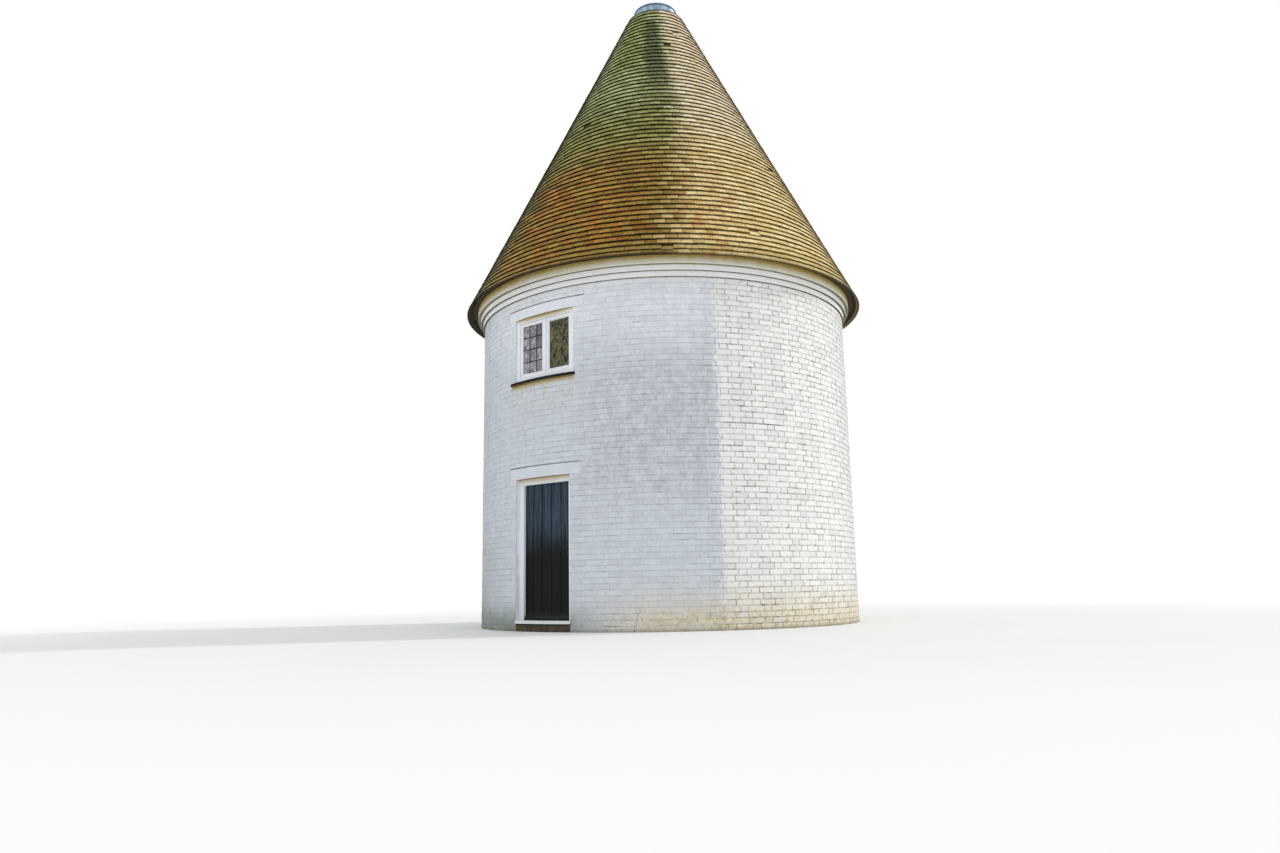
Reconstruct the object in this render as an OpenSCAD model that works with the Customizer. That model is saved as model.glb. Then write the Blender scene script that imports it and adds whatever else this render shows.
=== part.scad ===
// Round oast kiln: a lime-painted brick roundel with corbelled eaves and a conical tiled roof.
// Millimetres, +Z up. The origin is on the tower's axis at ground level; the door and the window face -Y.

/* [Wall] */
// Outside radius of the brick wall
wall_r = 2900; // [2700:50:3100]
// Thickness of the wall above the upper floor
wall_t = 340; // [300:10:380]
// Width of the ledge inside the wall that carries the upper floor
ledge_w = 60; // [50:5:90]
// Height of that ledge above the door lintel
ledge_over = 230; // [160:10:350]
// Height of one brick course with its joint
course_h = 76.5; // [74:0.5:79]
// Courses from the ground to the eaves corbels
wall_courses = 61; // [60:1:66]
// Width of each front pier's strip of wall, as an angle from the middle of the door
front_a = 20; // [17:1:26]

/* [Eaves] */
// Outside step of the lowest corbel course
corbel_1_step = 30; // [15:5:45]
// Outside step of the second corbel course over the first
corbel_2_step = 35; // [15:5:50]
// Outside step of the top band over the second course
corbel_3_step = 45; // [20:5:60]
// Courses in the top band of the eaves
band_courses = 3; // [2:1:4]
// Width of the timber plate that the rafters stand on
plate_w = 140; // [110:5:180]
// Height of that plate
plate_h = 75; // [50:5:100]

/* [Roof] */
// How far the lowest edge of the tiles stands out from the top band
eaves_out = 180; // [150:5:220]
// How far the lowest edge of the tiles hangs below the top of the wall
eaves_drop = 159; // [140:1:190]
// Radius of the top edge of the tiles
roof_top_r = 510; // [460:10:600]
// Rise of the tiles from their lowest edge to their top edge
roof_h = 5410; // [4900:10:5900]
// How far the slope hangs inside a straight line halfway up
roof_sag = 10; // [0:2:30]
// Thickness of tiles and battens, measured level
roof_t = 66; // [56:2:80]
// Number of rafters
rafter_n = 16; // [12:2:20]
// Width of a rafter
rafter_w = 50; // [40:5:65]
// Depth of a rafter, measured level
rafter_d = 110; // [90:5:130]
// Height of a purlin ring
purlin_h = 100; // [75:5:125]
// Width of a purlin ring
purlin_w = 60; // [45:5:75]
// How far a purlin ring is let into the rafters
purlin_housing = 20; // [10:2:30]

/* [Cap] */
// How far the lead drum that closes the roof stands inside the top edge of the tiles
cap_in = 145; // [110:5:180]
// Height of the drum above the tiles
cap_h = 220; // [160:5:280]
// Rise of the lead top to its middle
cap_rise = 20; // [10:5:60]
// Thickness of the lead with its folds
lead_t = 8; // [6:1:12]
// Radius of the rolled rim
rim_r = 14; // [10:1:20]
// Height of the timber curb ring under the drum
curb_h = 100; // [75:5:125]

/* [Floors] */
// Height of the ground floor above the ground
floor_z = 105; // [90:5:120]
// Depth of a joist
joist_h = 150; // [125:5:175]
// Width of a joist
joist_w = 50; // [40:5:65]
// Distance between joists
joist_gap = 400; // [350:10:450]
// Thickness of the floor boards
board_t = 25; // [20:1:32]

/* [Door] */
// Width of the doorway in the brickwork
doorway_w = 1000; // [940:10:1040]
// Courses from the ground to the underside of the door lintel
door_head_courses = 27; // [26:1:28]
// Bearing of a lintel on the wall at each end
lintel_bearing = 155; // [110:5:180]
// Height of a lintel in courses
lintel_courses = 2; // [1:1:2]
// Depth of the door frame's front face behind the foremost line of the wall
door_set = 113; // [95:1:120]
// Depth of the door frame
frame_d = 100; // [90:5:120]
// Width of the frame beside the leaf
jamb_w = 65; // [60:1:75]
// Height of the frame above the leaf
head_h = 66; // [60:2:80]
// How far the stop overlaps the doorway in front of the leaf
stop_w = 15; // [12:1:18]
// Depth of the stop
stop_d = 38; // [30:1:44]
// Height of the timber threshold
threshold_h = 40; // [35:5:55]
// How far the threshold stands out from the wall
threshold_out = 15; // [5:5:30]
// Thickness of the door boards
leaf_t = 28; // [22:1:32]
// Widths of the boards as shares of the leaf, from the hinges to the latch
board_shares = [146, 168, 178, 176, 187];
// Thickness of the ledges behind the boards
ledge_t = 25; // [20:1:30]
// Height of a ledge
ledge_h = 120; // [100:5:150]
// Clearance of the leaf at the hinges, the head, the stop and the threshold
leaf_gap = 6; // [5:0.5:8]
// Clearance of the leaf at the latch side
latch_gap = 9; // [8.5:0.5:12]
// Height of the weatherboard at the foot of the leaf
weather_h = 70; // [50:5:80]
// How far the weatherboard stands out from the boards
weather_out = 38; // [25:1:45]
// Radius of the hinge barrels
barrel_r = 9; // [8:0.5:11]
// Thickness of the hinge straps
strap_t = 6; // [4:0.5:8]
// Height of the knob above the floor
knob_h = 985; // [900:5:1050]
// Radius of the knob
knob_r = 24; // [20:1:28]
// How far the reveals spread by the inside of the wall
splay = 70; // [50:5:90]

/* [Window] */
// Width of the window opening in the brickwork
window_w = 1100; // [1040:10:1120]
// How far the window stands to the right of the door's middle
window_x = 16; // [-20:1:20]
// Courses from the ground to the underside of the window lintel
window_head_courses = 57; // [56:1:58]
// How far the underside of the window lintel stands above that course
window_head_up = 12; // [0:1:20]
// Height of the opening from the underside of the sill slate to the lintel
window_h = 960; // [900:10:1000]
// Depth of the window frame's front face behind the foremost line of the wall
window_set = 72; // [60:1:85]
// Thickness of the sill slate
slate_t = 36; // [28:2:45]
// How far the slate stands out from the wall
slate_out = 38; // [25:1:60]
// How far the slate runs past the opening at the left
slate_horn_left = 76; // [20:1:90]
// How far the slate runs past the opening at the right
slate_horn_right = 24; // [20:1:90]
// Depth of the window frame
window_d = 85; // [80:5:100]
// Width of the window frame beside the sashes
window_jamb = 62; // [50:1:70]
// Height of the window frame over the sashes
window_top_h = 56; // [46:2:66]
// Height of the window frame below the sashes
window_sill_h = 78; // [60:2:86]
// Width of the mullion between the sashes
mullion_w = 28; // [20:1:36]
// How far the frame runs behind the edges of the sashes
rebate_w = 12; // [9:1:13]
// Width of the sashes' stiles and rails
sash_w = 46; // [40:1:52]
// Thickness of the sashes
sash_t = 40; // [35:1:44]
// How far the sashes stand back in the frame
sash_in = 15; // [5:1:20]
// Depth of the glass behind the face of its sash
glass_set = 16; // [12:1:22]
// Width of glass held behind the lip of its sash
glass_hold = 10; // [7:1:13]
// Thickness of the glass
glass_t = 4; // [3:1:6]

/* [Hidden] */
// Roundness of the wall, floors and roof, and of small round pieces
big_fn = 360;
small_fn = 32;
// Gap where one piece is laid on, against or into the next
seat_gap = 0.3;
// Overrun of a cutting solid past the face that it cuts
past = 20;
// Levels and radii of the wall that follow from the sizes above
upper_in = wall_r - wall_t;
lower_in = upper_in - ledge_w;
lintel_h = lintel_courses * course_h;
door_head_z = door_head_courses * course_h;
window_head_z = window_head_courses * course_h + window_head_up;
window_lintel_top_z = window_head_courses * course_h + lintel_h;
window_z = window_head_z - window_h;
ledge_z = door_head_z + lintel_h + ledge_over;
corbel_z = wall_courses * course_h;
band_z = corbel_z + 2 * course_h;
wall_top_z = band_z + band_courses * course_h;
corbel_1_r = wall_r + corbel_1_step;
corbel_2_r = corbel_1_r + corbel_2_step;
corbel_3_r = corbel_2_r + corbel_3_step;
// Dark open joint over each lintel
joint_h = 13;
joint_deep = 25;
// Ring segments behind the front strip, and the angle of the gap between two of them
segment_n = 6;
segment_a = (360 - 2 * front_a) / segment_n;
seat_a = asin(seat_gap / lower_in);
// Levels and radii of the roof
eaves_r = corbel_3_r + eaves_out;
eaves_z = wall_top_z - eaves_drop;
roof_top_z = eaves_z + roof_h;
plate_top_z = wall_top_z + plate_h;
plate_set = 10;
curb_set = 50;
curb_top_z = roof_top_z - curb_set;
rafter_top_z = curb_top_z - curb_h;
purlin_shares = [0.33, 0.66];
// Level width that the roof loses for each millimetre of height
roof_lean = (eaves_r - roof_top_r) / roof_h;
function tiles_in(z) = eaves_r - roof_t - (z - eaves_z) * roof_lean;
// The rafters' outer edges clear the tiles' curved underside
rafter_gap = 1;
function rafter_out(z) = tiles_in(z) - rafter_gap;

// Level ring between two radii, with a seat gap under what lies on it
module full_ring(r0, r1, z0, z1) {
    rotate_extrude($fn = big_fn)
        translate([r0, z0])
            square([r1 - r0, z1 - z0 - seat_gap]);
}

// Upright section of the wall between two levels, with the ledge where it falls between them
function wall_section(z0, z1) =
    z1 <= ledge_z ? [[lower_in, z0], [wall_r, z0], [wall_r, z1], [lower_in, z1]] :
    z0 >= ledge_z ? [[upper_in, z0], [wall_r, z0], [wall_r, z1], [upper_in, z1]] :
    [[lower_in, z0], [wall_r, z0], [wall_r, z1], [upper_in, z1], [upper_in, ledge_z], [lower_in, ledge_z]];

// Piece of the wall between two levels and two angles from the middle of the door, with a seat gap
// over it and at its second end
module wall_arc(z0, z1, a0, a1) {
    rotate([0, 0, a0 - 90])
        rotate_extrude(angle = a1 - a0 - seat_a, $fn = big_fn)
            polygon(wall_section(z0, z1 - seat_gap));
}

// Block across the front of the wall, between two levels
module front_box(half_w, z0, z1, y0 = wall_r + past, y1 = lower_in - past - ledge_w) {
    translate([-half_w, -y0, z0])
        cube([2 * half_w, y0 - y1, z1 - z0]);
}

// Opening with straight sides to the back of its frame and splayed reveals behind it
module opening(half_w, back_y, z0, z1) {
    inside_y = -lower_in / 2;
    slope = splay / (lower_in * cos(front_a) + back_y);
    wide = half_w - slope * (inside_y - back_y);
    translate([0, 0, z0])
        linear_extrude(z1 - z0)
            polygon([[-half_w, -wall_r - past], [half_w, -wall_r - past], [half_w, back_y],
                [wide, inside_y], [-wide, inside_y], [-half_w, back_y]]);
}

// Opening of the doorway, drawn in by a gap for what fills it
module door_opening(z0, z1, gap = 0) {
    opening(doorway_w / 2 - gap, frame_back_y, z0, z1);
}

module window_opening(z0, z1) {
    at_window() opening(window_w / 2, -window_y + window_d, z0, z1);
}

// The window isn't quite over the door
module at_window() {
    translate([window_x, 0, 0])
        children();
}

// Seat that is cut for a lintel over an opening
module lintel_seat(half_w, z) {
    front_box(half_w + lintel_bearing + seat_gap, z - seat_gap, z + lintel_h + past);
}

module door_pier(a0, a1) {
    color("white") difference() {
        wall_arc(0, door_head_z + lintel_h, a0, a1);
        door_opening(-past, door_head_z + lintel_h + past);
        lintel_seat(doorway_w / 2, door_head_z);
    }
}

module door_pier_left() {
    door_pier(-front_a, 0);
}

module door_pier_right() {
    door_pier(0, front_a);
}

// Joint that has lost its mortar over a lintel
module open_joint(half_w, z) {
    difference() {
        front_box(half_w + lintel_bearing, z - past, z + joint_h);
        cylinder(r = wall_r - joint_deep, h = 2 * z, $fn = big_fn);
    }
}

module wall_over_door() {
    color("white") difference() {
        wall_arc(door_head_z + lintel_h, window_z, -front_a, front_a);
        open_joint(doorway_w / 2, door_head_z + lintel_h);
    }
}

module window_pier(a0, a1) {
    color("white") difference() {
        wall_arc(window_z, window_lintel_top_z, a0, a1);
        window_opening(window_z - past, window_lintel_top_z + past);
        at_window() lintel_seat(window_w / 2, window_head_z);
    }
}

module window_pier_left() {
    window_pier(-front_a, 0);
}

module window_pier_right() {
    window_pier(0, front_a);
}

module wall_over_window() {
    color("white") difference() {
        wall_arc(window_lintel_top_z, corbel_z, -front_a, front_a);
        at_window() open_joint(window_w / 2, window_lintel_top_z);
    }
}

module wall_segment(i) {
    color("white")
        wall_arc(0, corbel_z, front_a + i * segment_a, front_a + (i + 1) * segment_a);
}

// Lintel between two levels, as long as its front box
module lintel(z0, z1) {
    color("whitesmoke") intersection() {
        wall_arc(z0, z1, -front_a, front_a);
        children();
    }
}

module door_lintel() {
    lintel(door_head_z, door_head_z + lintel_h)
        front_box(doorway_w / 2 + lintel_bearing, 0, wall_top_z);
}

module window_lintel() {
    lintel(window_head_z, window_lintel_top_z)
        at_window() front_box(window_w / 2 + lintel_bearing, 0, wall_top_z);
}

module ground_floor() {
    color("rosybrown")
        cylinder(r = lower_in - seat_gap, h = floor_z, $fn = big_fn);
}

// Brick step that closes the foot of the doorway
module door_step() {
    color("saddlebrown") intersection() {
        wall_arc(0, floor_z, -front_a, front_a);
        door_opening(-past, floor_z + past, seat_gap);
    }
}

module corbel_1() {
    color("white") full_ring(upper_in, corbel_1_r, corbel_z, corbel_z + course_h);
}

module corbel_2() {
    color("white") full_ring(upper_in, corbel_2_r, corbel_z + course_h, band_z);
}

module corbel_3() {
    color("white") full_ring(upper_in, corbel_3_r, band_z, wall_top_z);
}

// Plate on the wall, inside its face and under the slope of the tiles
module wall_plate() {
    plate_out = min(corbel_3_r - plate_set, rafter_out(plate_top_z));
    color("burlywood") full_ring(plate_out - plate_w, plate_out, wall_top_z, plate_top_z);
}

module joist_area(z0, z1) {
    translate([0, 0, z0])
        cylinder(r = upper_in - seat_gap, h = z1 - z0, $fn = big_fn);
}

module floor_joists() {
    n = floor((lower_in - joist_w) / joist_gap);
    color("burlywood") intersection() {
        joist_area(ledge_z + seat_gap, ledge_z + joist_h);
        for (i = [-n:n])
            translate([-wall_r, i * joist_gap - joist_w / 2, ledge_z - past])
                cube([2 * wall_r, joist_w, joist_h + 2 * past]);
    }
}

module floor_boards() {
    color("tan") joist_area(ledge_z + joist_h + seat_gap, ledge_z + joist_h + board_t);
}

// Upright outline of one rafter with the housings of the purlin rings
module rafter_outline() {
    top_z = rafter_top_z - seat_gap;
    difference() {
        polygon([[rafter_out(plate_top_z), plate_top_z], [rafter_out(top_z), top_z],
            [rafter_out(top_z) - rafter_d, top_z], [rafter_out(plate_top_z) - rafter_d, plate_top_z]]);
        for (share = purlin_shares)
            translate([0, purlin_z(share)])
                square([purlin_r(share) + seat_gap, purlin_h]);
    }
}

function purlin_z(share) = plate_top_z + share * (rafter_top_z - plate_top_z);
function purlin_r(share) = rafter_out(purlin_z(share) + purlin_h) - rafter_d + purlin_housing;

module rafters() {
    color("burlywood")
        for (i = [0:rafter_n - 1])
            rotate([0, 0, (i + 0.5) * 360 / rafter_n])
                rotate([90, 0, 0])
                    translate([0, 0, -rafter_w / 2])
                        linear_extrude(rafter_w)
                            rafter_outline();
}

module purlin_rings() {
    color("burlywood")
        for (share = purlin_shares)
            full_ring(purlin_r(share) - purlin_w, purlin_r(share), purlin_z(share),
                purlin_z(share) + purlin_h);
}

module curb_ring() {
    out_r = rafter_out(curb_top_z);
    color("burlywood") full_ring(out_r - rafter_d, out_r, rafter_top_z, curb_top_z);
}

// Timber fillet that closes the gap between the top band and the tiles, above their lowest edge
fillet_up = 67;

module eaves_fillet() {
    low_z = eaves_z + fillet_up;
    in_r = corbel_3_r + seat_gap;
    color("saddlebrown")
        rotate_extrude($fn = big_fn)
            polygon([[in_r, low_z], [tiles_in(low_z) - seat_gap, low_z],
                [tiles_in(wall_top_z) - seat_gap, wall_top_z], [in_r, wall_top_z]]);
}

// The slope of the tiles sags in a shallow curve, drawn as straight runs
module roof_tiles() {
    runs = 6;
    slope = [for (i = [0:runs])
        let (t = i / runs)
        [eaves_r + t * (roof_top_r - eaves_r) - 4 * roof_sag * t * (1 - t), eaves_z + t * roof_h]];
    color("peru")
        rotate_extrude($fn = big_fn)
            polygon(concat(slope, [[tiles_in(roof_top_z), roof_top_z], [tiles_in(eaves_z), eaves_z]]));
}

// Values of the cap that its pieces share
cap_r = roof_top_r - cap_in;
lead_z = roof_top_z + seat_gap;
drum_top_z = lead_z + cap_h;

// Timber drum on a wider board that closes the ring of tiles under the lead
module cap_drum() {
    drum_r = cap_r - lead_t - seat_gap;
    under_z = drum_top_z - lead_t - seat_gap;
    board_r = tiles_in(roof_top_z) - seat_gap;
    board_z = lead_z - seat_gap;
    color("burlywood")
        rotate_extrude($fn = big_fn)
            polygon([[0, curb_top_z], [board_r, curb_top_z], [board_r, board_z], [drum_r, board_z],
                [drum_r, under_z], [0, under_z + cap_rise]]);
}

// Lead dressed over the drum, with a flange on the tiles, a fillet at its foot and a rolled rim
module lead_cap() {
    flange_in = 8;
    fold = 2 * lead_t;
    skin_r = cap_r - lead_t;
    color("lightslategray")
        rotate_extrude($fn = big_fn)
            difference() {
                union() {
                    polygon([[0, lead_z], [roof_top_r - flange_in, lead_z],
                        [roof_top_r - flange_in, lead_z + lead_t], [cap_r + fold, lead_z + lead_t],
                        [cap_r, lead_z + lead_t + fold], [cap_r, drum_top_z], [0, drum_top_z + cap_rise]]);
                    translate([cap_r, drum_top_z - rim_r])
                        circle(r = rim_r, $fn = small_fn);
                }
                polygon([[-past, lead_z - past], [skin_r, lead_z - past], [skin_r, drum_top_z - lead_t],
                    [0, drum_top_z + cap_rise - lead_t], [-past, drum_top_z + cap_rise - lead_t]]);
            }
}

// Values of the door that several of its pieces share
door_y = wall_r - door_set;
door_foot_z = floor_z + threshold_h;
door_top_z = door_head_z - seat_gap;
leaf_z = door_foot_z + leaf_gap;
leaf_top_z = door_head_z - head_h - leaf_gap;
leaf_x0 = -doorway_w / 2 + jamb_w + leaf_gap;
leaf_x1 = doorway_w / 2 - jamb_w - latch_gap;
leaf_w = leaf_x1 - leaf_x0;
leaf_y = -door_y + stop_d + leaf_gap;
leaf_back_y = leaf_y + leaf_t;
ledge_back_y = leaf_back_y + ledge_t;
frame_back_y = -door_y + frame_d;
sight_w = doorway_w / 2 - jamb_w - stop_w;
hinge_x = leaf_x0 - leaf_gap / 2;
hinge_lift = 5;
hinge_y = max(frame_back_y, ledge_back_y + strap_t) + barrel_r + hinge_lift;
knob_z = floor_z + knob_h;
lock_h = 90;
ledge_set = 180;
lock_gap = 15;
ledge_zs = [leaf_z + ledge_set, knob_z - lock_h / 2 - lock_gap - ledge_h, leaf_top_z - ledge_set - ledge_h];
hinge_zs = [ledge_zs[0] + ledge_h / 2, ledge_zs[2] + ledge_h / 2];
barrel_h = 60;

module door_frame() {
    color("white") difference() {
        translate([-doorway_w / 2 + seat_gap, -door_y, door_foot_z])
            cube([doorway_w - 2 * seat_gap, frame_d, door_top_z - door_foot_z]);
        translate([-sight_w, -door_y - past, door_foot_z - past])
            cube([2 * sight_w, frame_d, door_head_z - head_h - stop_w - door_foot_z + past]);
        translate([-doorway_w / 2 + jamb_w, -door_y + stop_d, door_foot_z - past])
            cube([doorway_w - 2 * jamb_w, frame_d, door_head_z - head_h - door_foot_z + past]);
    }
}

module threshold() {
    color("white") intersection() {
        translate([-doorway_w / 2 + seat_gap, -wall_r - threshold_out, floor_z])
            cube([doorway_w - 2 * seat_gap, wall_r + threshold_out + frame_back_y, threshold_h]);
        cylinder(r = wall_r + threshold_out, h = 2 * door_foot_z, $fn = big_fn);
    }
}

// Sum of the first n board shares
function shares(n) = n == 0 ? 0 : board_shares[n - 1] + shares(n - 1);

// Upright boards with bevelled edges that meet in V joints
module door_boards() {
    n = len(board_shares);
    bevel = 9;
    slit = 2;
    color("black")
        for (i = [0:n - 1]) {
            x0 = leaf_x0 + leaf_w * shares(i) / shares(n) + (i == 0 ? 0 : slit / 2);
            x1 = leaf_x0 + leaf_w * shares(i + 1) / shares(n) - (i == n - 1 ? 0 : slit / 2);
            translate([0, 0, leaf_z])
                linear_extrude(leaf_top_z - leaf_z)
                    polygon([[x0, leaf_y + bevel], [x0 + bevel, leaf_y], [x1 - bevel, leaf_y],
                        [x1, leaf_y + bevel], [x1, leaf_back_y], [x0, leaf_back_y]]);
        }
}

module door_ledges() {
    inset = 12;
    color("black")
        for (z = ledge_zs)
            translate([leaf_x0 + inset, leaf_back_y, z])
                cube([leaf_w - 2 * inset, ledge_t, ledge_h]);
}

module weatherboard() {
    end_gap = 10;
    top_out = 8;
    nose_h = weather_h * 0.3;
    color("black")
        translate([-sight_w + end_gap, leaf_y, leaf_z])
            rotate([90, 0, 90])
                linear_extrude(2 * sight_w - 2 * end_gap - latch_gap)
                    polygon([[0, 0], [-weather_out, 0], [-weather_out, nose_h], [-top_out, weather_h],
                        [0, weather_h]]);
}

// Strap hinges on the inside of the leaf, each with one barrel round the hinge line
module door_hinges() {
    strap_l = 420;
    strap_h = 38;
    pin_gap = 0.5;
    color("dimgray")
        for (z = hinge_zs)
            difference() {
                union() {
                    translate([hinge_x, hinge_y, z - barrel_h / 2])
                        cylinder(r = barrel_r, h = barrel_h, $fn = small_fn);
                    translate([hinge_x, ledge_back_y, z - strap_h / 2])
                        cube([strap_t, hinge_y - ledge_back_y, strap_h]);
                    translate([hinge_x, ledge_back_y, z - strap_h / 2])
                        cube([strap_l, strap_t, strap_h]);
                }
                translate([hinge_x, hinge_y, z - barrel_h / 2 - past])
                    cylinder(r = barrel_r / 2 + pin_gap, h = barrel_h + 2 * past, $fn = small_fn);
            }
}

// Plates on the frame, each with a pin that carries the barrel of a strap
module hinge_pintles() {
    plate_in = 5;
    plate_x = hinge_x + doorway_w / 2 - plate_in;
    lug_h = 30;
    lug_gap = 5;
    color("dimgray")
        for (z = hinge_zs) {
            lug_z = z - barrel_h / 2 - lug_gap - lug_h;
            translate([hinge_x, hinge_y, lug_z])
                cylinder(r = barrel_r / 2, h = lug_h + lug_gap + barrel_h, $fn = small_fn);
            translate([hinge_x, hinge_y, lug_z])
                cylinder(r = barrel_r, h = lug_h, $fn = small_fn);
            translate([hinge_x - plate_x, frame_back_y, lug_z])
                cube([plate_x, strap_t, lug_h]);
            translate([hinge_x - strap_t, frame_back_y, lug_z])
                cube([strap_t, hinge_y - frame_back_y, lug_h]);
        }
}

// Knobs on both sides of the leaf and the rim lock between the inner one and the boards
module door_knobs() {
    knob_in = 62;
    lock_in = 8;
    lock_w = 110;
    lock_t = 24;
    color("black") {
        translate([leaf_x1 - knob_in, leaf_y, knob_z])
            rotate([90, 0, 0])
                knob();
        translate([leaf_x1 - lock_in - lock_w, leaf_back_y, knob_z - lock_h / 2])
            cube([lock_w, lock_t, lock_h]);
        translate([leaf_x1 - knob_in, leaf_back_y + lock_t, knob_z])
            rotate([-90, 0, 0])
                knob();
    }
}

// Rose, neck and flattened ball of one knob, standing out along +Z
module knob() {
    reach = 52;
    rose_r = 27;
    rose_t = 5;
    neck_r = 9;
    flat = 0.8;
    rotate_extrude($fn = small_fn)
        intersection() {
            union() {
                square([rose_r, rose_t]);
                square([neck_r, reach - knob_r]);
                translate([0, reach - knob_r * flat])
                    scale([1, flat])
                        circle(r = knob_r, $fn = small_fn);
            }
            square([2 * rose_r, 2 * reach]);
        }
}

// Values of the window that its pieces share
window_y = wall_r - window_set;
slate_top_z = window_z + slate_t;
window_foot_z = slate_top_z + seat_gap;
sash_gap = 2;
glass_gap = 1;
sash_z0 = window_foot_z + window_sill_h;
sash_z1 = window_head_z - window_top_h;

// Block of the window between two x, two levels and two depths behind the frame's face
module window_block(x0, x1, z0, z1, d0, d1) {
    translate([window_x + x0, -window_y + d0, z0])
        cube([x1 - x0, d1 - d0, z1 - z0]);
}

// The same block for the pocket of one sash, drawn in by an inset on all four sides; side is -1 or 1
module sash_block(side, inset, d0, d1) {
    near = mullion_w / 2;
    far = window_w / 2 - window_jamb;
    x0 = side > 0 ? near : -far;
    x1 = side > 0 ? far : -near;
    window_block(x0 + inset, x1 - inset, sash_z0 + inset, sash_z1 - inset, d0, d1);
}

module window_frame() {
    color("white") difference() {
        window_block(-window_w / 2 + seat_gap, window_w / 2 - seat_gap, window_foot_z,
            window_head_z - seat_gap, 0, window_d);
        for (side = [-1, 1]) {
            sash_block(side, 0, -past, sash_in + sash_t);
            sash_block(side, rebate_w, -past, window_d + past);
        }
    }
}

// Sash with its glass in a rebate behind the front lip
module sash(side) {
    color("white") difference() {
        sash_block(side, sash_gap, sash_in, sash_in + sash_t);
        sash_block(side, sash_w, -past, window_d);
        sash_block(side, sash_w - glass_hold, sash_in + glass_set, window_d);
    }
}

module glass(side) {
    color("lightblue")
        sash_block(side, sash_w - glass_hold + glass_gap, sash_in + glass_set,
            sash_in + glass_set + glass_t);
}

// Sill slate: bedded under the frame, with horns that lie against the face of the wall
module sill_slate() {
    half_w = (window_w + slate_horn_left + slate_horn_right) / 2;
    middle_x = window_x + (slate_horn_right - slate_horn_left) / 2;
    color("dimgray") difference() {
        intersection() {
            translate([middle_x, 0, 0])
                front_box(half_w, window_z, slate_top_z, wall_r + slate_out + past, window_y - window_d);
            cylinder(r = wall_r + slate_out, h = 2 * window_z, $fn = big_fn);
        }
        difference() {
            cylinder(r = wall_r + seat_gap, h = 2 * window_z, $fn = big_fn);
            at_window() front_box(window_w / 2 - seat_gap, 0, 2 * window_z, wall_r + 2 * past, 0);
        }
    }
}

ground_floor();
door_step();
door_pier_left();
door_pier_right();
wall_over_door();
window_pier_left();
window_pier_right();
wall_over_window();
wall_segment(0);  // wall_1
wall_segment(1);  // wall_2
wall_segment(2);  // wall_3
wall_segment(3);  // wall_4
wall_segment(4);  // wall_5
wall_segment(5);  // wall_6
door_lintel();
window_lintel();
corbel_1();
corbel_2();
corbel_3();
wall_plate();
floor_joists();
floor_boards();
rafters();
purlin_rings();
curb_ring();
eaves_fillet();
roof_tiles();
cap_drum();
lead_cap();
door_frame();
threshold();
door_boards();
door_ledges();
weatherboard();
door_hinges();
door_knobs();
hinge_pintles();
window_frame();
sash(-1);  // fixed_sash
sash(1);  // casement_sash
glass(-1);  // leaded_glass
glass(1);  // plain_glass
sill_slate();
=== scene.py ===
"""Looks of a round oast kiln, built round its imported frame.

Painted brickwork, clay tiles, lead, joinery and glass. Metres, +Z up. Angles are measured round the
tower's axis, from the middle of the door towards +X.
"""
import math
import random

import bpy
import numpy as np
from mathutils import Matrix, Vector


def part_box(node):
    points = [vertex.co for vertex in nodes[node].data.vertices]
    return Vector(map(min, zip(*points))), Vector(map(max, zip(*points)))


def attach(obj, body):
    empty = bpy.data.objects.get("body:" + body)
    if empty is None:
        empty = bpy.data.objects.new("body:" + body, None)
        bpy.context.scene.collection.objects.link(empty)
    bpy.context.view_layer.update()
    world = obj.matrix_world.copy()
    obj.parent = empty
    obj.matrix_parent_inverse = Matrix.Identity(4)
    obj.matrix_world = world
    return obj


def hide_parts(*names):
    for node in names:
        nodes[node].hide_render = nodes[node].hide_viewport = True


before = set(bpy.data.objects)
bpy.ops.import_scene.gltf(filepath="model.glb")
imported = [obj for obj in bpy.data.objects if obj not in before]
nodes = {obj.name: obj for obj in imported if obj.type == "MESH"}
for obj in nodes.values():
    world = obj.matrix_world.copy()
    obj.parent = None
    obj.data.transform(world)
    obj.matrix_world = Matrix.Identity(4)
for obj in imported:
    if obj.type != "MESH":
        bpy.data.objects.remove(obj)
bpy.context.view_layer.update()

# Sizes read from the frame
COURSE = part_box("corbel_2")[0].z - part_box("corbel_1")[0].z
WALL_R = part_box("wall_3")[1].y
WALL_COURSES = round(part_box("corbel_1")[0].z / COURSE)
WALL_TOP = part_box("corbel_3")[1].z
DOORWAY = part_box("threshold")
DOOR_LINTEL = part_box("door_lintel")
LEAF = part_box("door_boards")
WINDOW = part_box("window_frame")
WINDOW_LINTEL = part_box("window_lintel")
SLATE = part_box("sill_slate")
EAVES_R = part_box("roof_tiles")[1].y
EAVES_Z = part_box("roof_tiles")[0].z
ROOF_TOP_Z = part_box("roof_tiles")[1].z
CAP_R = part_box("lead_cap")[1].x
CAP_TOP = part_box("lead_cap")[1].z

# Height of the lead cap's rolled rim, and radius at which the tiles end, a little outside the cap
RIM_HIGH = 0.052
ROOF_TOP_R = CAP_R + 0.008

# Height of the open joint over each lintel
OPEN_JOINT = 0.013

# Widths of the door's boards from left to right, in millimetres, and x of the joints between them
BOARD_SHARES = [146, 168, 178, 176, 187]
BOARD_JOINTS = [LEAF[0].x + (LEAF[1].x - LEAF[0].x) * sum(BOARD_SHARES[:i]) / sum(BOARD_SHARES)
                for i in range(1, len(BOARD_SHARES))]

# Gauge of the tiles, measured up the slope: near this one, in whole courses
COMMON_GAUGE = 0.1
ROOF_RISE = ROOF_TOP_Z - EAVES_Z
SLOPE_LONG = math.hypot(EAVES_R - ROOF_TOP_R, ROOF_RISE)
TILE_COURSES = round(SLOPE_LONG / COMMON_GAUGE)
GAUGE = SLOPE_LONG / TILE_COURSES

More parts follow.
